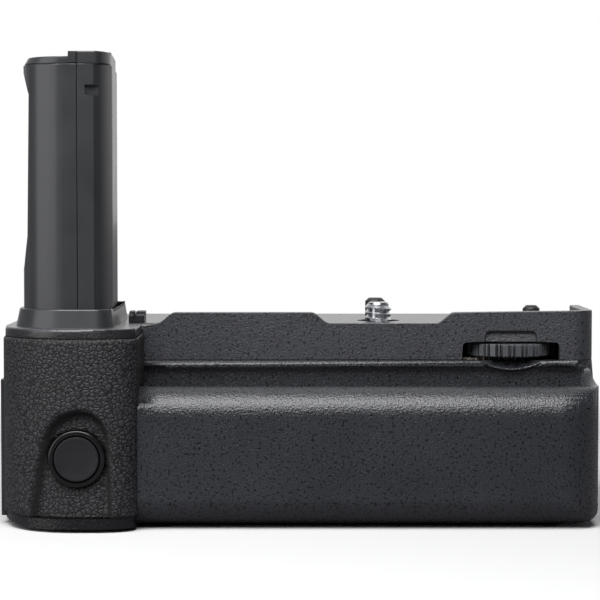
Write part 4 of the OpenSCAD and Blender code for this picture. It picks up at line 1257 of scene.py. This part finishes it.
@dataclass
class LockDrive:
    """The ribbed thumb wheel, the camera screw and what joins them.

    Attributes:
        centre: the wheel's axis in plan.
        radius: radius over the ribs.
        faces: heights of the wheel's lower and upper face.
        bore: radius of the hole for the axle.
        facets: facets round the drum.
        ribs: count of wide ribs, with a thin ridge between each two.
        rib_deep: depth of the grooves.
        rib_wide: width of a wide rib.
        ridge_wide: width of a thin ridge.
        chamfer: height of the ribs' and ridges' chamfer.
        taper: share of their width that is left on top of it.
        root: how far they stand in the drum.
        pitch: the camera screw's thread pitch, 20 to the inch.
        thread_r: the thread's outer radius.
        thread_deep: depth of the thread.
        screw_top: height of the camera screw.
        pin_edge: rounding of the index pins.
    """

    centre: Pair = (30.54, -4.7)
    radius: float = 9.8
    faces: Pair = (-7.85, -4.9)
    bore: float = 1.55
    facets: int = 120
    ribs: int = 20
    rib_deep: float = 1.3
    rib_wide: float = 1.5
    ridge_wide: float = 0.4
    chamfer: float = 0.3
    taper: float = 0.84
    root: float = 0.2
    pitch: float = 1.27
    thread_r: float = 3.175
    thread_deep: float = 0.72
    screw_top: float = 4.4
    pin_edge: float = 0.25

    def rim_tree(self) -> Tree:
        """Return the tree that sets chamfered blocks round a rim.

        Returns:
            The tree.
        """
        sizes = {"Count": "Int", "Radius": "Float", "Block": "Vector", "Chamfer": "Float", "Turn": "Vector"}
        tree, given = new_tree("rim_blocks", **sizes, Finish="Material")
        block = add_node(tree, "GeometryNodeMeshCube", {"Size": given["Block"]})
        facing = add_node(tree, "ShaderNodeSeparateXYZ", {"Vector": add_node(tree, "GeometryNodeInputNormal")})
        front = add_node(tree, "FunctionNodeCompare", {0: facing, 1: 0.9}, operation="GREATER_THAN")
        lift = {"Mesh": block, "Selection": front, "Offset Scale": given["Chamfer"]}
        raised = add_node(tree, "GeometryNodeExtrudeMesh", lift)
        slim = {"Geometry": raised, "Selection": raised.outputs["Top"], "Scale": self.taper}
        tapered = add_node(tree, "GeometryNodeScaleElements", slim)
        circle = add_node(tree, "GeometryNodeMeshCircle", {"Vertices": given["Count"], "Radius": given["Radius"]})
        turned = add_node(tree, "GeometryNodeTransform", {"Geometry": circle, "Rotation": given["Turn"]})
        spot = {"Vector": add_node(tree, "GeometryNodeInputPosition")}
        outward = add_node(tree, "FunctionNodeAlignRotationToVector", spot, axis="X", pivot_axis="Z")
        ring = {"Points": turned, "Instance": tapered, "Rotation": outward}
        return end_tree(tree, given, add_node(tree, "GeometryNodeInstanceOnPoints", ring))

    def thread_tree(self) -> Tree:
        """Return the tree that winds a pointed thread up from each point.

        Returns:
            The tree.
        """
        sizes = dict.fromkeys(("Turns", "Radius", "Height", "Section"), "Float")
        tree, given = new_tree("wound_thread", **sizes, Finish="Material")
        coil = {"Resolution": 48, "Rotations": given["Turns"], "Height": given["Height"]}
        radii = dict.fromkeys(("Start Radius", "End Radius"), given["Radius"])
        spiral = add_node(tree, "GeometryNodeCurveSpiral", {**coil, **radii})
        upright = add_node(tree, "GeometryNodeSetCurveNormal", {"Curve": spiral}, mode="Z_UP")
        section = add_node(tree, "GeometryNodeCurvePrimitiveCircle", {"Resolution": 4, "Radius": given["Section"]})
        sweep = {"Curve": upright, "Profile Curve": section, "Fill Caps": True}
        return end_tree(tree, given, add_node(tree, "GeometryNodeCurveToMesh", sweep))

    def wheel(self) -> None:
        """Make the wheel: a turned drum with its blocks, over the moulded pinion."""
        low, high = self.faces
        x, y = self.centre
        base = self.radius - self.rib_deep
        hub = cad_copy("lock_wheel")
        disc = [f for f in hub.faces if low - 0.02 < f.calc_center_median().z / MM < high + 0.02]
        bmesh.ops.delete(hub, geom=disc, context="FACES")
        lower = [(self.bore, low), (base - 0.3, low), (base, low + 0.3)]
        upper = [(base, high - 0.2), (base - 0.2, high), (self.bore, high)]
        merge(hub, revolve(lower + upper, (x, y, 0), Axis.Z, self.facets))
        place(hub, "lock_wheel_drum", Finishes.wheel_abs, "lock_wheel", "lock_wheel")
        tree = self.rim_tree()
        deep = self.rib_deep - self.chamfer
        for name, wide, turn in (("ribs", self.rib_wide, math.pi / self.ribs), ("ridges", self.ridge_wide, 0.0)):
            made = grow(
                tree,
                Finishes.wheel_abs,
                [(x, y, (low + high) / 2)],
                Count=self.ribs,
                Radius=(base + deep / 2 - self.root / 2) * MM,
                Block=((deep + self.root) * MM, wide * MM, (high - low) * MM),
                Chamfer=self.chamfer * MM,
                Turn=(0.0, 0.0, turn),
            )
            place(made, "lock_wheel_" + name, Finishes.wheel_abs, "lock_wheel", "lock_wheel")

    def screw(self) -> None:
        """Make the camera screw: its core, its foot from the CAD and a wound thread."""
        foot = cad_copy("camera_screw")
        whole = foot.verts[:] + foot.edges[:] + foot.faces[:]
        bmesh.ops.bisect_plane(foot, geom=whole, plane_co=(0, 0, -0.1 * MM), plane_no=(0, 0, 1), clear_outer=True)
        core = self.thread_r - self.thread_deep
        top = self.screw_top
        lower = [(0, -0.6), (core - 0.2, -0.6), (core, -0.4)]
        upper = [(core, top - 0.55), (core - 0.15, top - 0.12), (core - 0.5, top), (0, top)]
        merge(foot, revolve(lower + upper, (0, 0, 0), Axis.Z))
        place(foot, "camera_screw_core", Finishes.chrome, "camera_screw", "camera_screw")
        height = top - 0.75
        thread = grow(
            self.thread_tree(),
            Finishes.chrome,
            [(0, 0, 0.1)],
            Turns=height / self.pitch,
            Radius=core * MM,
            Height=height * MM,
            Section=self.thread_deep * MM,
        )
        place(thread, "camera_screw_thread", Finishes.chrome, "camera_screw", "camera_screw", angle=20)

    def build(self) -> None:
        """Make the wheel and the screw and dress the rest of the train."""
        self.wheel()
        self.screw()
        keep(Finishes.acetal, "idler_gear_near", "idler_gear_far")
        keep(Finishes.brass, "screw_gear", "screw_bush")
        keep(Finishes.steel, "wheel_axle", "idler_axles", "gear_frame")
        for node in ("index_pin_rear", "index_pin_right"):
            rounded(node, "rounded", Finishes.trim_abs, self.pin_edge, lambda at: at.z > 1, angle=60)


@dataclass
class BatteryDrawer:
    """The battery tray with its door and latch, the chamber round it and the boards.

    Attributes:
        door_edge: rounding of the door.
        door_out: X beyond which its edges are outside.
        knob_edge: rounding of the knob.
        knob_out: X beyond which its edges are outside.
    """

    door_edge: float = 0.3
    door_out: float = -85.1
    knob_edge: float = 0.15
    knob_out: float = -86.0

    def build(self) -> None:
        """Make the door and the knob and dress the rest."""
        trim, wheel = Finishes.trim_abs, Finishes.wheel_abs
        rounded("tray_door", "moulded", trim, self.door_edge, lambda at: at.x < self.door_out, "battery_tray")
        rounded("latch_knob", "moulded", wheel, self.knob_edge, lambda at: at.x < self.knob_out, "latch")
        keep(Finishes.inner_abs, "battery_tray", "battery_chamber")
        keep(Finishes.gold, "tray_contacts", "chamber_contacts")
        keep(Finishes.steel, "latch_tongue", "tripod_bush")
        keep(Finishes.solder_mask, "main_board")


@dataclass
class Fasteners:
    """Small cross-recessed screws, one tree for all of them.

    Attributes:
        head_r: radius of a head.
        head_h: height of a head.
        door_h: height of a head on the door, which is thinner.
        crown: share of the head's radius on its top.
        shank_r: radius of a shank.
        recess: length, width and depth of the cross.
    """

    head_r: float = 1.9
    head_h: float = 1.2
    door_h: float = 1.0
    crown: float = 0.84
    shank_r: float = 1.0
    recess: Triple = (2.1, 0.5, 0.7)

    def tree(self) -> Tree:
        """Return the tree of one screw, set on each point.

        Returns:
            The tree.
        """
        tree, given = new_tree("cross_screw", Head="Float", Shank="Float", Turn="Rotation", Finish="Material")

        def solid(kind: str, height: Node, inputs: dict[str, Source]) -> Node:
            """Add a simple solid, moved up to a height.

            Args:
                kind: its shape.
                height: the height.
                inputs: its sizes.

            Returns:
                The moved solid.
            """
            lift = add_node(tree, "ShaderNodeCombineXYZ", {"Z": height})
            made = add_node(tree, "GeometryNodeMesh" + kind, inputs)
            return add_node(tree, "GeometryNodeTransform", {"Geometry": made, "Translation": lift})

        up = calc(tree, "MULTIPLY", given["Shank"], 0.5)
        down = calc(tree, "MULTIPLY", given["Head"], -1.0)
        shank = solid("Cylinder", up, {"Vertices": 24, "Radius": self.shank_r * MM, "Depth": given["Shank"]})
        radii = {"Radius Top": self.head_r * MM, "Radius Bottom": self.crown * self.head_r * MM}
        head = solid("Cone", down, {"Vertices": 40, **radii, "Depth": given["Head"]})
        long, wide, deep = self.recess
        for size in ((long, wide, 2 * deep), (wide, long, 2 * deep)):
            bar = solid("Cube", down, {"Size": [s * MM for s in size]})
            head = add_node(tree, "GeometryNodeMeshBoolean", {"Mesh 1": head, "Mesh 2": bar}, operation="DIFFERENCE")
        joined = add_node(tree, "GeometryNodeJoinGeometry")
        for part in (head, shank):
            feed(tree, joined, {"Geometry": part})
        return end_tree(tree, given, joined, Rotation=given["Turn"])

    def build(self) -> None:
        """Set a screw in each place that the CAD has one."""
        tree = self.tree()
        quarter = math.pi / 2
        turns = {Axis.X: (0.0, quarter, 0.0), Axis.Y: (quarter, 0.0, 0.0), Axis.Z: (0.0, 0.0, 0.0)}
        places = (
            ("tower_screws", "grip_body", Axis.Z, self.head_h),
            ("frame_screws", "grip_body", Axis.Z, self.head_h),
            ("board_screws", "grip_body", Axis.Z, self.head_h),
            ("case_screws", "grip_body", Axis.Z, self.head_h),
            ("shutter_screws", "grip_body", Axis.Y, self.head_h),
            ("door_screws", "battery_tray", Axis.X, self.door_h),
        )
        for node, body, axis, head in places:
            along = axis.value
            seats = []
            for low, high in islands(node):
                seat = (low + high) / 2
                seat[along] = high[along] - head if axis is Axis.Y else low[along] + head
                seats.append(tuple(seat))
                length = high[along] - low[along] - head
            made = grow(tree, Finishes.steel, seats, Head=head * MM, Shank=length * MM, Turn=turns[axis])
            place(made, node + "_headed", Finishes.steel, node, body)


@dataclass
class Studio:
    """Camera, pale floor and soft light.

    Attributes:
        eye: the camera's place.
        pitch: degrees that it looks down.
        lens: focal length.
        sensor: width of the sensor.
        floor: height of the floor.
        floor_half: half of the floor's width, in metres.
        floor_glow: distances in metres over which the floor turns to plain white.
        room_tone: tone of the room that lights the grip from all round.
        gloss_tone: tone of the dark room in front, in the grip's reflections; the backdrop is white.
        bounce_tone: tone of the floor in the grip's reflections, as if flagged off.
        shade_right: share of the room's light that is left on its right side.
        floor_tone: tone of the floor near the grip, which the key light lifts to white.
    """

    eye: Triple = (-18.7, -500.7, 28.7)
    pitch: float = 2.73
    lens: float = 126.0
    sensor: float = 36.0
    floor: float = -45.5
    floor_half: float = 6.0
    floor_glow: Pair = (0.16, 0.34)
    room_tone: str = "#68696D"
    gloss_tone: str = "#646569"
    bounce_tone: str = "#727276"
    shade_right: float = 0.65
    floor_tone: str = "#D2D2D2"

    def camera(self) -> None:
        """Set the camera in front of the grip."""
        eye = bpy.data.cameras.new("front_camera")
        eye.lens = self.lens
        eye.sensor_width = self.sensor
        eye.sensor_fit = "HORIZONTAL"
        eye.clip_start = 0.01
        seen = bpy.data.objects.new("front_camera", eye)
        seen.location = [c * MM for c in self.eye]
        seen.rotation_euler = (math.radians(90 - self.pitch), 0, 0)
        bpy.context.scene.collection.objects.link(seen)
        bpy.context.scene.camera = seen

    def lamp(self, name: str, at: Triple, aim: Triple, size: Pair, power: float) -> None:
        """Set a soft panel light.

        Args:
            name: name of the light.
            at: its place.
            aim: point that it faces.
            size: width and height of the panel.
            power: its power in watts.
        """
        light = bpy.data.lights.new(name, "AREA")
        light.shape = "RECTANGLE"
        light.size = size[0] * MM
        light.size_y = size[1] * MM
        light.energy = power
        panel = bpy.data.objects.new(name, light)
        panel.location = [c * MM for c in at]
        panel.rotation_euler = (Vector(aim) - Vector(at)).to_track_quat("-Z", "Y").to_euler()
        bpy.context.scene.collection.objects.link(panel)

    def world(self) -> None:
        """Fill the room with white behind the grip and softer tones round it."""
        world = bpy.data.worlds.new("white_room")
        bpy.context.scene.world = world
        world.use_nodes = True
        tree = world.node_tree
        tree.nodes.clear()
        ray = add_node(tree, "ShaderNodeLightPath").outputs
        way = {"Vector": add_node(tree, "ShaderNodeTexCoord").outputs["Generated"]}
        aim = add_node(tree, "ShaderNodeSeparateXYZ", way).outputs
        behind = remap(tree, aim["Y"], (-0.05, 0.55), (0.0, 1.0), SMOOTH)
        left = remap(tree, aim["X"], (-0.7, -0.2), (0.1, 1.0), SMOOTH)
        right = remap(tree, aim["X"], (-0.1, 0.8), (1.0, self.shade_right), SMOOTH)
        backdrop = calc(tree, "MULTIPLY", behind, left)
        mirrored = blend(tree, backdrop, linear(self.gloss_tone), linear(WHITE))
        room = blend(tree, ray["Is Glossy Ray"], linear(self.room_tone), mirrored)
        shaded = blend(tree, 1.0, room, right, "MULTIPLY")
        seen = calc(tree, "MAXIMUM", ray["Is Camera Ray"], ray["Is Transmission Ray"])
        tone = blend(tree, seen, shaded, linear(WHITE))
        back = add_node(tree, "ShaderNodeBackground", {"Color": tone, "Strength": 1.0})
        add_node(tree, "ShaderNodeOutputWorld", {"Surface": back})

    def paper(self) -> bpy.types.Material:
        """Return the floor's white paper, which keeps the grip's shadow and glows white farther off.

        Returns:
            The paper.
        """
        paper = bpy.data.materials.new("paper_seamless_white")
        paper.use_nodes = True
        tree = paper.node_tree
        shader = tree.nodes["Principled BSDF"]
        seen = add_node(tree, "ShaderNodeLightPath").outputs["Is Camera Ray"]
        spot = add_node(tree, "ShaderNodeTexCoord").outputs["Object"]
        bounce = linear(self.bounce_tone)
        fibre = noise(tree, spot, size=0.8, detail=3.0)
        near = {
            "Base Color": blend(tree, seen, bounce, linear(self.floor_tone)),
            "Roughness": 0.9,
            "Specular IOR Level": 0.1,
            "Normal": bump(tree, strength=0.05, relief=0.01, height=fibre),
        }
        feed(tree, shader, near)
        away = add_node(tree, "ShaderNodeVectorMath", {0: spot}, operation="LENGTH").outputs["Value"]
        fade = remap(tree, away, self.floor_glow, (0.0, 1.0), SMOOTH)
        far = {"Color": blend(tree, seen, bounce, linear(WHITE)), "Strength": 1.0}
        both = {0: fade, 1: shader, 2: add_node(tree, "ShaderNodeEmission", far)}
        feed(tree, tree.nodes["Material Output"], {"Surface": add_node(tree, "ShaderNodeMixShader", both)})
        return paper

    def ground(self) -> None:
        """Lay the paper floor."""
        shape = bmesh.new()
        bmesh.ops.create_grid(shape, x_segments=2, y_segments=2, size=self.floor_half)
        mesh = bpy.data.meshes.new("floor")
        shape.to_mesh(mesh)
        shape.free()
        mesh.materials.append(self.paper())
        floor = bpy.data.objects.new("floor", mesh)
        floor.location.z = self.floor * MM
        bpy.context.scene.collection.objects.link(floor)

    def build(self) -> None:
        """Set up the whole studio."""
        bpy.context.scene.view_settings.view_transform = "Standard"
        self.camera()
        self.world()
        self.ground()
        self.lamp("key_above", at=(-110, -350, 530), aim=(-30, -30, -10), size=(600, 540), power=7.8)
        self.lamp("strip_left", at=(-400, -250, 110), aim=(-60, -10, 0), size=(280, 420), power=0.75)


def main() -> None:
    """Build the grip and its studio."""
    logging.basicConfig(level=logging.INFO, format="%(message)s")
    for group in (Studio(), CaseShells(), HandGrip(), Tower(), LockDrive(), BatteryDrawer(), Fasteners()):
        group.build()


if __name__ == "__main__":
    main()
